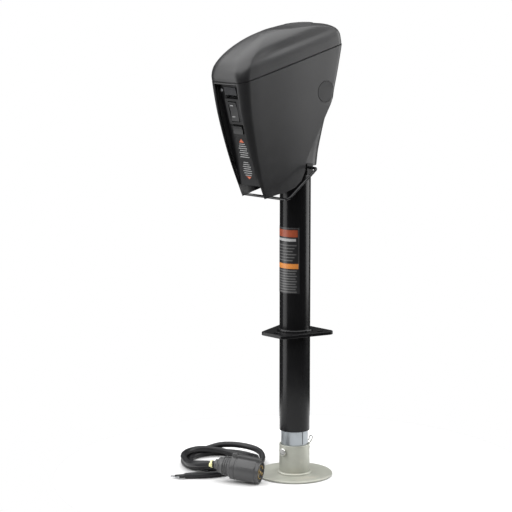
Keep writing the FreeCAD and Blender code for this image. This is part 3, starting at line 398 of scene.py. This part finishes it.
def refined(node_name, width, segments=3, angle=30):
    """A copy of a CAD node with its flats joined and its edges rounded."""
    piece = bpy.data.objects.new(node_name + "_fine", nodes[node_name].data.copy())
    scene.collection.objects.link(piece)
    rework(piece.data, join=CAD_JOIN, flat=CAD_FLAT)
    if piece.data.has_custom_normals:
        piece.data.attributes.remove(piece.data.attributes["custom_normal"])
    soften(piece, width, segments, angle)
    body = body_of(nodes[node_name])[0]
    return dress(piece, body, slot_of[node_name], [node_name], crisp=0)


# ---------------------------------------------------------------- harness

# the harness lies on a ground plan of (across, away, height); the coil's radius and height are
# read from (degrees swept, value) stations
CABLE = 11.5
COIL_CENTRE = (-139, 68)
PLUG_ROUTE = [(-147, -44, 31), (-166, -38.5, 30), (-182.5, -27.5, 27), (-195.5, -10.5, 22),
              (-202, 10, 18)]
LEAD_ROUTE = [(-128, -13.5, 6), (-149.5, -25.5, 6), (-171, -32.5, 6), (-191, -34, 6)]
COIL_START = 195
COIL_SWEEP = 960
COIL_STEP = 20
COIL_RADII = [(0, 75.5), (40, 69), (75, 60), (110, 55.5), (300, 56.0), (440, 67.0), (660, 67.5),
              (800, 79.0), (960, 78.5)]
COIL_HEIGHTS = [(0, 18.6), (60, 18.2), (95, 12.5), (130, 6.6), (520, 5.9), (570, 15.5),
                (650, 15.5), (700, 5.9), (780, 5.9), (830, 19.0), (885, 18.0), (950, 5.9),
                (960, 5.9)]

across = Vector((1, 1, 0)).normalized()
away = Vector((-1, 1, 0)).normalized()


def ground(point):
    """A point of the ground plan: across, away and height."""
    return across * point[0] + away * point[1] + Vector((0, 0, point[2]))


def eased(stations, place):
    """A value read from (place, value) stations, eased from each to the next."""
    for (start, first), (end, last) in zip(stations, stations[1:]):
        if place <= end:
            share = max(0.0, (place - start) / (end - start))
            return first + (last - first) * share * share * (3 - 2 * share)
    return stations[-1][1]


def coil_points():
    """Nearly three loose turns, clockwise from above, the first one crossing to the inside."""
    points = []
    for swept in range(0, COIL_SWEEP + 1, COIL_STEP):
        turn = math.radians(COIL_START - swept)
        radius = eased(COIL_RADII, swept) + 0.7 * math.sin(math.radians(swept * 1.7))
        height = eased(COIL_HEIGHTS, swept)
        points.append((COIL_CENTRE[0] + radius * math.cos(turn),
                       COIL_CENTRE[1] + radius * math.sin(turn), height))
    return points


cable_curve = bpy.data.curves.new("harness_cable", "CURVE")
cable_curve.dimensions = "3D"
cable_curve.bevel_depth = CABLE / 2 * MM
cable_curve.bevel_resolution = 8
cable_curve.resolution_u = 8
cable_curve.use_fill_caps = True
cable_line = cable_curve.splines.new("NURBS")
cable_route = [ground(p) * MM for p in PLUG_ROUTE + coil_points() + LEAD_ROUTE]
cable_line.points.add(len(cable_route) - 1)
for place, point in zip(cable_line.points, cable_route):
    place.co = (*point, 1)
cable_line.order_u = 3
cable_line.use_endpoint_u = True
cable_piece = bpy.data.objects.new("harness_cable", cable_curve)
scene.collection.objects.link(cable_piece)
dress(cable_piece, "leg", "cable_jacket", ["harness_coil", "harness_plug_end", "harness_lead_end"])

# seven-way plug
PLUG_BACK = ground(PLUG_ROUTE[0])
PLUG_NOSE = ground((-62, -72, 22.6))
PLUG_WAY = (PLUG_NOSE - PLUG_BACK).normalized()
PLUG_LENGTH = (PLUG_NOSE - PLUG_BACK).length
BARREL_FROM = PLUG_LENGTH - 56
plug_outline = rounded(
    [(0, 0), (9, 0), (9.5, 5), (13, 7), (14.5, 9), (14.5, 13), (16, 16), (17.6, BARREL_FROM - 5),
     (19.5, BARREL_FROM - 2), (22, BARREL_FROM), (22, BARREL_FROM + 8), (21.2, BARREL_FROM + 9),
     (21.2, BARREL_FROM + 11), (22, BARREL_FROM + 12), (22, PLUG_LENGTH - 8),
     (20.6, PLUG_LENGTH - 7), (20.6, PLUG_LENGTH), (18.2, PLUG_LENGTH), (18.2, PLUG_LENGTH - 4),
     (0, PLUG_LENGTH - 4)],
    [0, 1, 1.5, 1, 1, 1, 2, 4, 1, 1.2, 0.4, 0.4, 0.4, 0.4, 0.8, 0.4, 0.8, 0.8, 0.8, 0], 3)
plug_piece = lathe("plug_shell", plug_outline, PLUG_BACK, PLUG_WAY)
plug_up = (Vector((0, 0, 1)) - PLUG_WAY * PLUG_WAY.z).normalized()
plug_side = plug_up.cross(PLUG_WAY)


def plug_block(name, low_along, high_along, low_up, high_up, half, edge, twist=0.0):
    """A rounded bar on the plug: its reach along the axis, out from it, and half its width."""
    turned_up = Matrix.Rotation(math.radians(twist), 3, PLUG_WAY) @ plug_up
    turned_side = Matrix.Rotation(math.radians(twist), 3, PLUG_WAY) @ plug_side
    outline = []
    for along_mm, up_mm in ((low_along, low_up), (high_along, low_up), (high_along, high_up),
                            (low_along, high_up)):
        outline.append(PLUG_BACK + PLUG_WAY * along_mm + turned_up * up_mm)
    piece = skin(name, [[p - turned_side * half for p in outline],
                        [p + turned_side * half for p in outline]])
    soften(piece, edge)
    return dress(piece, "leg", "plug_shell", crisp=0)


dress(plug_piece, "leg", "plug_shell", ["plug_body"])
plug_parts = [
    plug_piece,
    plug_block("plug_rib", BARREL_FROM + 1, PLUG_LENGTH - 2, 15, 26.0, 5.0, 1.2),
    plug_block("plug_rib_lug", BARREL_FROM - 1, BARREL_FROM + 9, 15, 28.4, 5.2, 1.6),
    plug_block("plug_key_left", BARREL_FROM + 14, PLUG_LENGTH - 9, 15, 22.9, 2.2, 0.7, 62),
    plug_block("plug_key_right", BARREL_FROM + 14, PLUG_LENGTH - 9, 15, 22.9, 2.2, 0.7, -62),
]
for number in range(5):
    ridge_at = 17 + number * 4.2
    ridge_radius = 16.6 + number * 0.45
    ridge = lathe(f"plug_grip_{number}",
                  rounded([(10, ridge_at), (ridge_radius + 0.9, ridge_at),
                           (ridge_radius + 0.9, ridge_at + 2), (10, ridge_at + 2)],
                          [0, 0.7, 0.7, 0], 3), PLUG_BACK, PLUG_WAY)
    plug_parts.append(dress(ridge, "leg", "plug_shell"))

# cable tie with its square head and a short tail
TIE_WAY = (ground(PLUG_ROUTE[1]) - PLUG_BACK).normalized()
tie_at = PLUG_BACK + TIE_WAY * 5.0
tie_band = lathe("cable_tie_band",
                 tube_outline(CABLE / 2 + 1.2, CABLE / 2 - 0.1, 0, 3.8, 0.5), tie_at, TIE_WAY)
dress(tie_band, "leg", "tie_nylon", ["cable_tie"])
tie_out = (away * -1 - TIE_WAY * TIE_WAY.dot(away * -1)).normalized()
tie_up = TIE_WAY.cross(tie_out)


def tie_block(name, low, high, out_from, out_to, half):
    """A block beside the cable: its reach along the cable, out from it and half its width."""
    outline = [tie_at + TIE_WAY * a + tie_out * o
               for a, o in ((low, out_from), (high, out_from), (high, out_to), (low, out_to))]
    piece = skin(name, [[p - tie_up * half for p in outline],
                        [p + tie_up * half for p in outline]])
    soften(piece, 0.5)
    return dress(piece, "leg", "tie_nylon", crisp=0)


tie_parts = [
    tie_band,
    tie_block("cable_tie_head", -0.8, 4.6, CABLE / 2 - 0.4, CABLE / 2 + 4.6, 2.9),
    tie_block("cable_tie_tail", 1.0, 2.8, CABLE / 2 + 3.6, CABLE / 2 + 8.5, 0.7),
]

lead_parts = [refined("lead_boot", 0.5), refined("terminal_sleeves", 0.4),
              refined("ring_terminals", 0.2, 2)]
contact_piece = refined("plug_contacts", 0.25, 2)

# ---------------------------------------------------------------- head shells

WALL = 3.0
PER_CORNER = 12
PER_SIDE = 8
CROWN = 1.2
# each level: height, reach to the front and rear, half width there, and the corners' radii there
SHELL_LEVELS = [
    (528, 107.0, 40.0, 29.5, 44.0, 8.0, 10.0),
    (551, 117.0, 42.0, 31.0, 45.0, 9.0, 10.0),
    (596, 136.0, 45.0, 34.5, 47.0, 12.0, 10.0),
    (640, 151.5, 48.0, 38.0, 49.0, 15.0, 11.0),
    (684, 164.5, 51.0, 41.0, 50.5, 17.0, 12.0),
    (717, 172.0, 54.5, 43.0, 51.5, 18.5, 13.0),
    (750, 177.5, 62.0, 45.0, 53.0, 20.0, 14.0),
    (790, 181.0, 71.0, 46.0, 54.0, 20.0, 15.0),
    (830, 183.0, 78.0, 46.0, 55.0, 20.0, 15.0),
]
LID_LEVELS = [
    (0, 182.2, 75.6, 44.8, 53.8, 20.0, 15.0),
    (10, 182.0, 76.6, 44.9, 53.8, 22.0, 16.0),
    (22, 177.5, 76.5, 44.0, 53.3, 25.0, 16.0),
    (32, 168.0, 74.0, 40.5, 51.0, 26.0, 16.0),
    (40.2, 154.0, 60.0, 37.0, 46.0, 26.0, 22.0),
    (48.4, 133.0, 30.0, 31.0, 38.0, 24.0, 24.0),
    (55, 109.0, -14.0, 23.0, 26.0, 18.0, 18.0),
    (59.5, 86.0, -45.0, 13.0, 14.0, 9.0, 9.0),
    (61.1, 76.0, -56.0, 5.0, 5.0, 3.0, 3.0),
]
NECK_LEVELS = [
    (586, 30.0, 37.0, 36.5, 37.0, 2.0, 33.0),
    (612, 30.0, 38.5, 37.5, 38.5, 2.0, 31.0),
    (641, 30.0, 42.0, 40.0, 41.0, 2.0, 28.0),
    (664, 30.0, 45.0, 41.5, 42.5, 2.0, 24.0),
    (687, 30.0, 48.0, 43.8, 44.8, 2.0, 18.0),
    (704, 30.0, 49.0, 44.8, 46.2, 2.0, 13.0),
]
SHELL_BOTTOM = 528
SHELL_TOP = 830
SHELL_STEPS = 36
NECK_BOTTOM = 586
NECK_TOP = 706.7
NECK_STEPS = 24
# the seam between the housing and the lid; the lid's levels are heights above it
SEAM_ANGLE = math.radians(14)
SEAM_MIDDLE = 745 + 177 * math.tan(SEAM_ANGLE)
seam_turn = Matrix.Rotation(SEAM_ANGLE, 3, "X")
# the housing's lower edge at the sides and the rear, as (y, z)
OPEN_REAR = [(-160, 505), (-106, 535), (-80, 540.5), (-60, 543.5), (-40, 550), (-25, 562),
             (-18, 578), (-16.5, 596), (-9, 613), (46, 707), (120, 740), (120, 505)]


def level_at(levels, height):
    """The section at a height, on smooth curves through the given levels."""
    last = len(levels) - 1
    index = max(i for i in range(last) if levels[i][0] <= height or i == 0)
    low, high = levels[index], levels[index + 1]
    before = levels[max(index - 1, 0)]
    after = levels[min(index + 2, last)]
    span = high[0] - low[0]
    t = (height - low[0]) / span
    values = []
    for column in range(1, 7):
        slope = (high[column] - low[column]) / span
        start = (high[column] - before[column]) / (high[0] - before[0])
        end = (after[column] - low[column]) / (after[0] - low[0])
        if index == 0:
            start = slope
        if index == last - 1:
            end = slope
        values.append((2 * t ** 3 - 3 * t ** 2 + 1) * low[column]
                      + (t ** 3 - 2 * t ** 2 + t) * span * start
                      + (3 * t ** 2 - 2 * t ** 3) * high[column]
                      + (t ** 3 - t ** 2) * span * end)
    return values


def outline_at(levels, height, inset=0.0, crown=CROWN):
    """The rounded outline (x, y) of a head section, with slightly crowned sides."""
    front, rear, front_half, rear_half, front_corner, rear_corner = level_at(levels, height)
    corners = [(-front_half + inset, -front + inset), (front_half - inset, -front + inset),
               (rear_half - inset, rear - inset), (-rear_half + inset, rear - inset)]
    radii = [max(r - inset, 1.5) for r in (front_corner, front_corner, rear_corner, rear_corner)]
    arcs = rounded(corners, radii, PER_CORNER)
    run = PER_CORNER + 1
    outline = []
    for i in range(4):
        arc = arcs[i * run:(i + 1) * run]
        outline += arc
        start = arc[-1]
        end = arcs[(i + 1) % 4 * run]
        way = end - start
        side = Vector((way.y, -way.x)).normalized()
        for k in range(1, PER_SIDE):
            share = k / PER_SIDE
            bulge = crown * min(1.0, way.length / 60) * math.sin(math.pi * share) ** 2
            outline.append(start + way * share + side * bulge)
    return outline


def steps_between(low, high, count):
    """Evenly spaced values from low to high."""
    return [low + (high - low) * k / count for k in range(count + 1)]


def level_skin(name, levels, low, high, count, inset=0.0):
    """A solid through the sections between two heights, drawn in by an inset."""
    rings = []
    for height in steps_between(low, high, count):
        rings.append([(p.x, p.y, height) for p in outline_at(levels, height, inset)])
    return skin(name, rings)


def on_seam(x, y, height):
    """A point given above the seam, in the shared frame."""
    return seam_turn @ Vector((x, y, height)) + Vector((0, 0, SEAM_MIDDLE))


def seam_block(name, low, high):
    """Everything between two heights above the seam."""
    piece = block(name, (-100, -260, low), (100, 140, high))
    for vertex in piece.data.vertices:
        vertex.co = on_seam(*(vertex.co / MM)) * MM
    return piece


def seam_frame(name, low, high, inner_inset):
    """A band round the head at the seam, from just inside the skin to well outside it."""
    rings = []
    for inset, height in ((-6, low), (inner_inset, low), (inner_inset, high), (-6, high)):
        rings.append([on_seam(p.x, p.y, height) for p in outline_at(LID_LEVELS, 0, inset)])
    points = [p for ring in rings for p in ring]
    return new_object(name, points, band_faces(len(rings), len(rings[0]), closed=True))


SIDE_PLUG_Y = 27
SIDE_PLUG_Z = 721
SIDE_PLUG_RADIUS = 18.9
CHANNEL_HALF = 28.5
CHANNEL_TOP = 742


def plug_floor(name, inset):
    """The housing's inside at the side plugs, drawn in from its skin by an inset."""
    return level_skin(name, SHELL_LEVELS, 560, 829, SHELL_STEPS, inset)


def side_rod(name, radius, forward=0.0):
    """A rod across the head at the side plugs, moved forward a little if asked."""
    centre = (0, SIDE_PLUG_Y - forward, SIDE_PLUG_Z)
    return lathe(name, solid_outline(radius, -80, 80, 0.01), centre, (1, 0, 0))


shell = level_skin("head_shell", SHELL_LEVELS, SHELL_BOTTOM, SHELL_TOP, SHELL_STEPS)
carve(shell, level_skin("inside", SHELL_LEVELS, SHELL_BOTTOM - 8, SHELL_TOP + 8, SHELL_STEPS, WALL))
carve(shell, seam_block("above", -0.2, 160))
carve(shell, across_prism("rear_opening", rounded(OPEN_REAR, [2.5] * len(OPEN_REAR), 4)))
carve(shell, block("channel", (-CHANNEL_HALF, -205, 505), (CHANNEL_HALF, -85, CHANNEL_TOP)))
carve(shell, seam_frame("seam_groove", -1.0, 0.6, 1.3))
plug_seat = side_rod("plug_seat", SIDE_PLUG_RADIUS + 0.8, 0.7)
carve(plug_seat, plug_floor("seat_floor", 1.9))
carve(shell, plug_seat)
dress(shell, "column", "grey_plastic", ["housing_shell"], crisp=35)

discs = side_rod("side_plug_discs", SIDE_PLUG_RADIUS)
carve(discs, plug_floor("disc_skin", 0.35), "INTERSECT")
carve(discs, plug_floor("disc_floor", 2.6))
dress(discs, "column", "grey_plastic", ["side_plugs"], coat="cap_plastic", crisp=35)

neck = level_skin("head_neck", NECK_LEVELS, NECK_BOTTOM, NECK_TOP, NECK_STEPS)
carve(neck, level_skin("neck_inside", NECK_LEVELS, NECK_BOTTOM + WALL, 709, NECK_STEPS, WALL))
carve(neck, block("neck_front", (-60, -45, 560), (60, -25, 760)))
carve(neck, lathe("neck_bore", solid_outline(28.8, 580, 592, 0.01)))
dress(neck, "column", "grey_plastic", ["rear_neck_cover"], crisp=40)

# the lid: a convex shoulder, a soft crease that fades towards the front, and a domed top
LID_HEIGHT = 61.1
LID_RIM = 0.7
LID_RIM_HEIGHT = 1.4
LID_INSIDE_BOTTOM = -3.7
LID_INSIDE_TOP = 54
CREASE_REAR = 33.0
CREASE_FRONT = 28.0
CREASE_DEPTH = 4.8
CREASE_WIDTH = 8.0
CAP_Y = 5
CAP_TOP = 841.3
CAP_THICK = 5.0
CAP_RADIUS = 29.5
CAP_GAP = 0.9
CAP_HOLE = 24.5
# the cap follows the dome's slope, so its axis leans a little forward
CAP_LEAN = math.radians(6)
CAP_WAY = Vector((0, -math.sin(CAP_LEAN), math.cos(CAP_LEAN)))
CAP_BASE = Vector((0, CAP_Y, CAP_TOP + 0.6)) - CAP_WAY * CAP_TOP


def lid_ring(height, inset):
    """One ring of the lid, pressed in along the crease."""
    outline = outline_at(LID_LEVELS, height, inset, 0.6)
    ring = []
    count = len(outline)
    for i, point in enumerate(outline):
        way = outline[(i + 1) % count] - outline[i - 1]
        inward = Vector((-way.y, way.x)).normalized()
        fade = eased([(-165, 0.0), (-85, 1.0)], point.y)
        crease = CREASE_FRONT + (CREASE_REAR - CREASE_FRONT) * fade
        depth = CREASE_DEPTH * fade * math.exp(-((height - crease) / CREASE_WIDTH) ** 2)
        pressed = point + inward * depth
        ring.append(on_seam(pressed.x, pressed.y, height))
    return ring


lid_steps = [0.3, 0.7, LID_RIM_HEIGHT] + steps_between(2.5, LID_HEIGHT, 60)
lid = skin("head_lid", [lid_ring(height, LID_RIM * max(0.0, 1 - height / LID_RIM_HEIGHT))
                        for height in lid_steps])
inner_steps = [LID_INSIDE_BOTTOM] + [h for h in lid_steps[1:] if h < LID_INSIDE_TOP]
carve(lid, skin("lid_inside", [lid_ring(height, WALL) for height in inner_steps]))
cap_recess = solid_outline(CAP_RADIUS + CAP_GAP, CAP_TOP - CAP_THICK - 0.3, 900, 0.01)
carve(lid, lathe("cap_recess", cap_recess, CAP_BASE, CAP_WAY))
carve(lid, lathe("cap_hole", solid_outline(CAP_HOLE, 800, 900, 0.01), CAP_BASE, CAP_WAY))
dress(lid, "column", "grey_plastic", ["top_lid"], crisp=40)

cap_under = CAP_TOP - CAP_THICK
cap_section = rounded([(0, cap_under), (CAP_RADIUS, cap_under), (CAP_RADIUS, CAP_TOP),
                       (CAP_RADIUS - 4, CAP_TOP), (CAP_RADIUS - 5, CAP_TOP - 0.9),
                       (0, CAP_TOP - 0.9)], [0, 0.4, 1.6, 0.6, 0.8, 0], 5)
skirt_section = tube_outline(22, 20, cap_under - 12, cap_under + 0.1, 0.4)
cap = lathe("cap_disc", cap_section, CAP_BASE, CAP_WAY)
skirt = lathe("cap_skirt", skirt_section, CAP_BASE, CAP_WAY)
dress(cap, "cap", "cap_plastic", ["override_cap"])
dress(skirt, "cap", "cap_plastic")

# ---------------------------------------------------------------- switch panel

PANEL_ANGLE = math.radians(16)
panel_up = Vector((0, -math.sin(PANEL_ANGLE), math.cos(PANEL_ANGLE)))
panel_out = Vector((0, -math.cos(PANEL_ANGLE), -math.sin(PANEL_ANGLE)))
PANEL_FOOT = Vector((0, -113, 557))
MARK_LOW = 0.38
MARK_HIGH = 0.46
ROW_PITCH = 4.1
ROW_HEIGHT = 1.4


def on_panel(x, station, out):
    """A point on the switch panel: across, up its slope from the foot, and out from it."""
    return PANEL_FOOT + Vector((x, 0, 0)) + panel_up * station + panel_out * out


def panel_marks(name, outlines, low, high, coat, body="column", slot_name="panel_print"):
    """Thin printed marks on the panel: each outline is a list of (x, station)."""
    points = []
    faces = []
    for outline in outlines:
        count = len(outline)
        start = len(points)
        points += [on_panel(x, s, low) for x, s in outline]
        points += [on_panel(x, s, high) for x, s in outline]
        faces.append(tuple(start + i for i in range(count)))
        faces.append(tuple(start + count + i for i in range(count)))
        for i in range(count):
            j = (i + 1) % count
            faces.append((start + i, start + j, start + count + j, start + count + i))
    return dress(new_object(name, points, faces), body, slot_name, coat=coat, crisp=10)


def bar(x_low, x_high, low, high):
    """A rectangular mark."""
    return [(x_low, low), (x_high, low), (x_high, high), (x_low, high)]


for node_name, width in (("switch_panel", 0.6), ("switch_frame", 0.9), ("light_switch_case", 0.4),
                         ("updown_rocker", 0.8), ("light_rocker", 0.7), ("led_lens", 0.5),
                         ("channel_liner", 0.4), ("panel_label", 0.1)):
    refined(node_name, width)

pale_marks = []
for first_row, lengths in ((79, (14, 18, 21, 17, 22, 19, 24)), (44, (12, 16, 20, 18, 22, 20, 16))):
    for row, length in enumerate(lengths):
        station = first_row - row * ROW_PITCH
        pale_marks.append(bar(-length / 2, length / 2, station, station + ROW_HEIGHT))
triangles = [[(-6, 82.8), (6, 82.8), (0, 89.5)], [(-6, 17.6), (6, 17.6), (0, 12.6)]]
panel_marks("panel_marks_pale", pale_marks, MARK_LOW, MARK_HIGH, "print_pale")
panel_marks("panel_marks_orange", triangles, MARK_LOW, MARK_HIGH, "print_orange")
# a short plain mark near each end of the up/down rocker
panel_marks("rocker_marks", [bar(-6, 1, 152.6, 154.4), bar(-6, 1, 131.6, 133.4)], 3.2, 3.62,
            "print_pale", "updown", "rocker_plastic")

# ---------------------------------------------------------------- column and foot

TUBE = 57.15 / 2
LEG = 25.4
column_tube = lathe("column_tube", tube_outline(TUBE, 25.55, 87, 700, 0.7), segments=128)
dress(column_tube, "column", "black_powder", ["outer_tube"], crisp=30)
refined("mounting_flange", 1.3, 4)
refined("bail_bracket", 0.5)


def weld_bead(name, radius, height, thickness, ripples, body, slot_name, node_name):
    """A fillet weld round a tube, with overlapping ripples and a slightly uneven toe."""
    around = ripples * 8
    section = 10
    points = []
    for k in range(around):
        turn = 2 * math.pi * k / around
        ripple = (k / 8) % 1
        swell = 1 + 0.10 * ripple ** 2 + 0.05 * math.sin(5 * turn) + 0.03 * math.sin(11 * turn + 1)
        for i in range(section):
            lift = 2 * math.pi * i / section
            reach = thickness * swell
            r = max(radius - 0.4, radius + 0.3 * thickness + math.cos(lift) * reach)
            z = max(height - 0.4, height + 0.25 * thickness + math.sin(lift) * reach)
            points.append((r * math.cos(turn), r * math.sin(turn), z))
    bead = new_object(name, points, band_faces(around, section, closed=True))
    dress(bead, body, slot_name, [node_name], crisp=60)


weld_bead("flange_bead", TUBE, 277, 3.6, 30, "column", "black_powder", "flange_weld")
weld_bead("foot_bead", TUBE, 4.5, 3.0, 34, "leg", "zinc_foot", "foot_weld")

PAD = 71
pad_outline = rounded([(0, 0), (PAD - 1.5, 0), (PAD, 1.5), (PAD, 3.5), (PAD - 1.2, 4.5), (0, 4.5)],
                      [0, 0.5, 0.5, 0.5, 0.5, 0], 3)
dress(lathe("foot_pad", pad_outline, segments=160), "leg", "zinc_foot", ["foot_plate"], crisp=30)
dress(lathe("foot_sleeve", tube_outline(TUBE, 25.6, 4.5, 60, 0.7)), "leg", "zinc_foot",
      ["foot_socket"], crisp=30)
dress(lathe("leg_tube", tube_outline(LEG, 22.4, 4.5, 515, 0.5)), "leg", "zinc_leg",
      ["inner_leg"], crisp=30)
refined("foot_pin", 0.3)
# the leg tube's weld seam, a dark line down its length
leg_seam_turn = math.radians(-9)
seam_line = block("leg_seam", (-0.7, -0.15, 62), (0.7, 0.15, 514))
seam_line.data.transform(Matrix.Rotation(leg_seam_turn - math.pi / 2, 4, "Z"))
for vertex in seam_line.data.vertices:
    vertex.co += Vector((math.cos(leg_seam_turn), math.sin(leg_seam_turn), 0)) * LEG * MM
dress(seam_line, "leg", "zinc_leg", coat="motor_paint", crisp=10)

# ---------------------------------------------------------------- label on the tube

LABEL_BOTTOM = 349.5
LABEL_TOP = 472.5
FILM = 0.3
INK_LOW = 0.28
INK_HIGH = 0.34


def tube_marks(name, bars, low, high, coat):
    """Curved marks on the tube: each bar is (start angle, end angle, bottom, top), about -Y."""
    points = []
    faces = []
    for start, end, bottom, top in bars:
        count = max(2, int((end - start) / 4))
        first = len(points)
        for k in range(count + 1):
            turn = math.radians(-90 + start + (end - start) * k / count)
            way = Vector((math.cos(turn), math.sin(turn), 0))
            for radius in (TUBE + low, TUBE + high):
                points.append(way * radius + Vector((0, 0, bottom)))
                points.append(way * radius + Vector((0, 0, top)))
        for k in range(count):
            a = first + 4 * k
            b = a + 4
            faces += [(a + 2, b + 2, b + 3, a + 3), (a, a + 1, b + 1, b), (a, b, b + 2, a + 2),
                      (a + 1, a + 3, b + 3, b + 1)]
        faces.append((first, first + 2, first + 3, first + 1))
        end_at = first + 4 * count
        faces.append((end_at, end_at + 1, end_at + 3, end_at + 2))
    return dress(new_object(name, points, faces), "column", "tube_print", coat=coat, crisp=20)


label_film = tube_marks("label_film", [(-62, 62, LABEL_BOTTOM, LABEL_TOP)], 0.0, FILM, "tube_print")
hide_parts("tube_label")
tube_marks("label_block_rust", [(-54, 54, 455, 468.2)], INK_LOW, INK_HIGH, "print_rust")
tube_marks("label_block_amber", [(-54, 58, 396.1, 405.4)], INK_LOW, INK_HIGH, "print_amber")
tube_marks("label_bar_pale", [(-44, 48, 447, 452)], INK_LOW, INK_HIGH, "print_pale")
grey_bars = [(-58, 58, 471, 471.6), (57.2, 58.4, 397, 471)]
grey_bars += [(-46, 50 - 7 * (k % 3), 438.6 - 5.6 * k, 440.4 - 5.6 * k) for k in range(6)]
grey_bars += [(-48, 52 - 5 * (k % 2), 391 - 4.9 * k, 393.1 - 4.9 * k) for k in range(9)]
tube_marks("label_bars_grey", grey_bars, INK_LOW, INK_HIGH, "print_grey")

# ---------------------------------------------------------------- floor and lights

# sizes from here on are in metres
FLOOR_RADIUS = 0.45
FLOOR_SIDES = 64
FLOOR_DROP = 0.0003
floor_turns = [2 * math.pi * k / FLOOR_SIDES for k in range(FLOOR_SIDES)]
floor_mesh = bpy.data.meshes.new("floor")
floor_mesh.from_pydata([(FLOOR_RADIUS * math.cos(turn), FLOOR_RADIUS * math.sin(turn), 0)
                        for turn in floor_turns], [], [tuple(range(FLOOR_SIDES))])
floor_mesh.materials.append(finish("pale_floor", (0.66, 0.66, 0.66), 0.9, mottle=0.01,
                                   mottle_scale=3))
floor = bpy.data.objects.new("floor", floor_mesh)
floor.location.z = -FLOOR_DROP
scene.collection.objects.link(floor)

# the backdrop is white, but lights the jack only weakly
AMBIENT = 0.06
world = bpy.data.worlds.new("studio")
world.use_nodes = True
tree = world.node_tree
background = node_of(tree, "BACKGROUND")
background.inputs["Color"].default_value = (1, 1, 1, 1)
seen = tree.nodes.new("ShaderNodeLightPath")
strength = tree.nodes.new("ShaderNodeMapRange")
strength.inputs["To Min"].default_value = AMBIENT
strength.inputs["To Max"].default_value = 1.0
tree.links.new(seen.outputs["Is Camera Ray"], strength.inputs["Value"])
tree.links.new(strength.outputs["Result"], background.inputs["Strength"])
scene.world = world

LAMP_AIM_HEIGHT = 0.5


def softbox(name, across_m, away_m, height, width, tall, power):
    """A rectangular lamp on the harness's ground plan, turned towards the middle of the jack."""
    lamp = bpy.data.lights.new(name, "AREA")
    lamp.shape = "RECTANGLE"
    lamp.size = width
    lamp.size_y = tall
    lamp.energy = power
    holder = bpy.data.objects.new(name, lamp)
    holder.location = across * across_m + away * away_m + Vector((0, 0, height))
    link_aimed(holder, Vector((0, 0, LAMP_AIM_HEIGHT)) - holder.location)


sky = bpy.data.lights.new("sky", "SUN")
sky.energy = 6.0
sky.angle = math.radians(110)
link_aimed(bpy.data.objects.new("sky", sky),
           (across * 0.15 + away * 0.15 + Vector((0, 0, -1))).normalized())

softbox("key", -2.5, -0.35, 0.5, 1.6, 3.6, 52)
softbox("fill", 2.5, 0.75, 1.1, 1.8, 2.8, 56)

scene.view_settings.view_transform = "Standard"
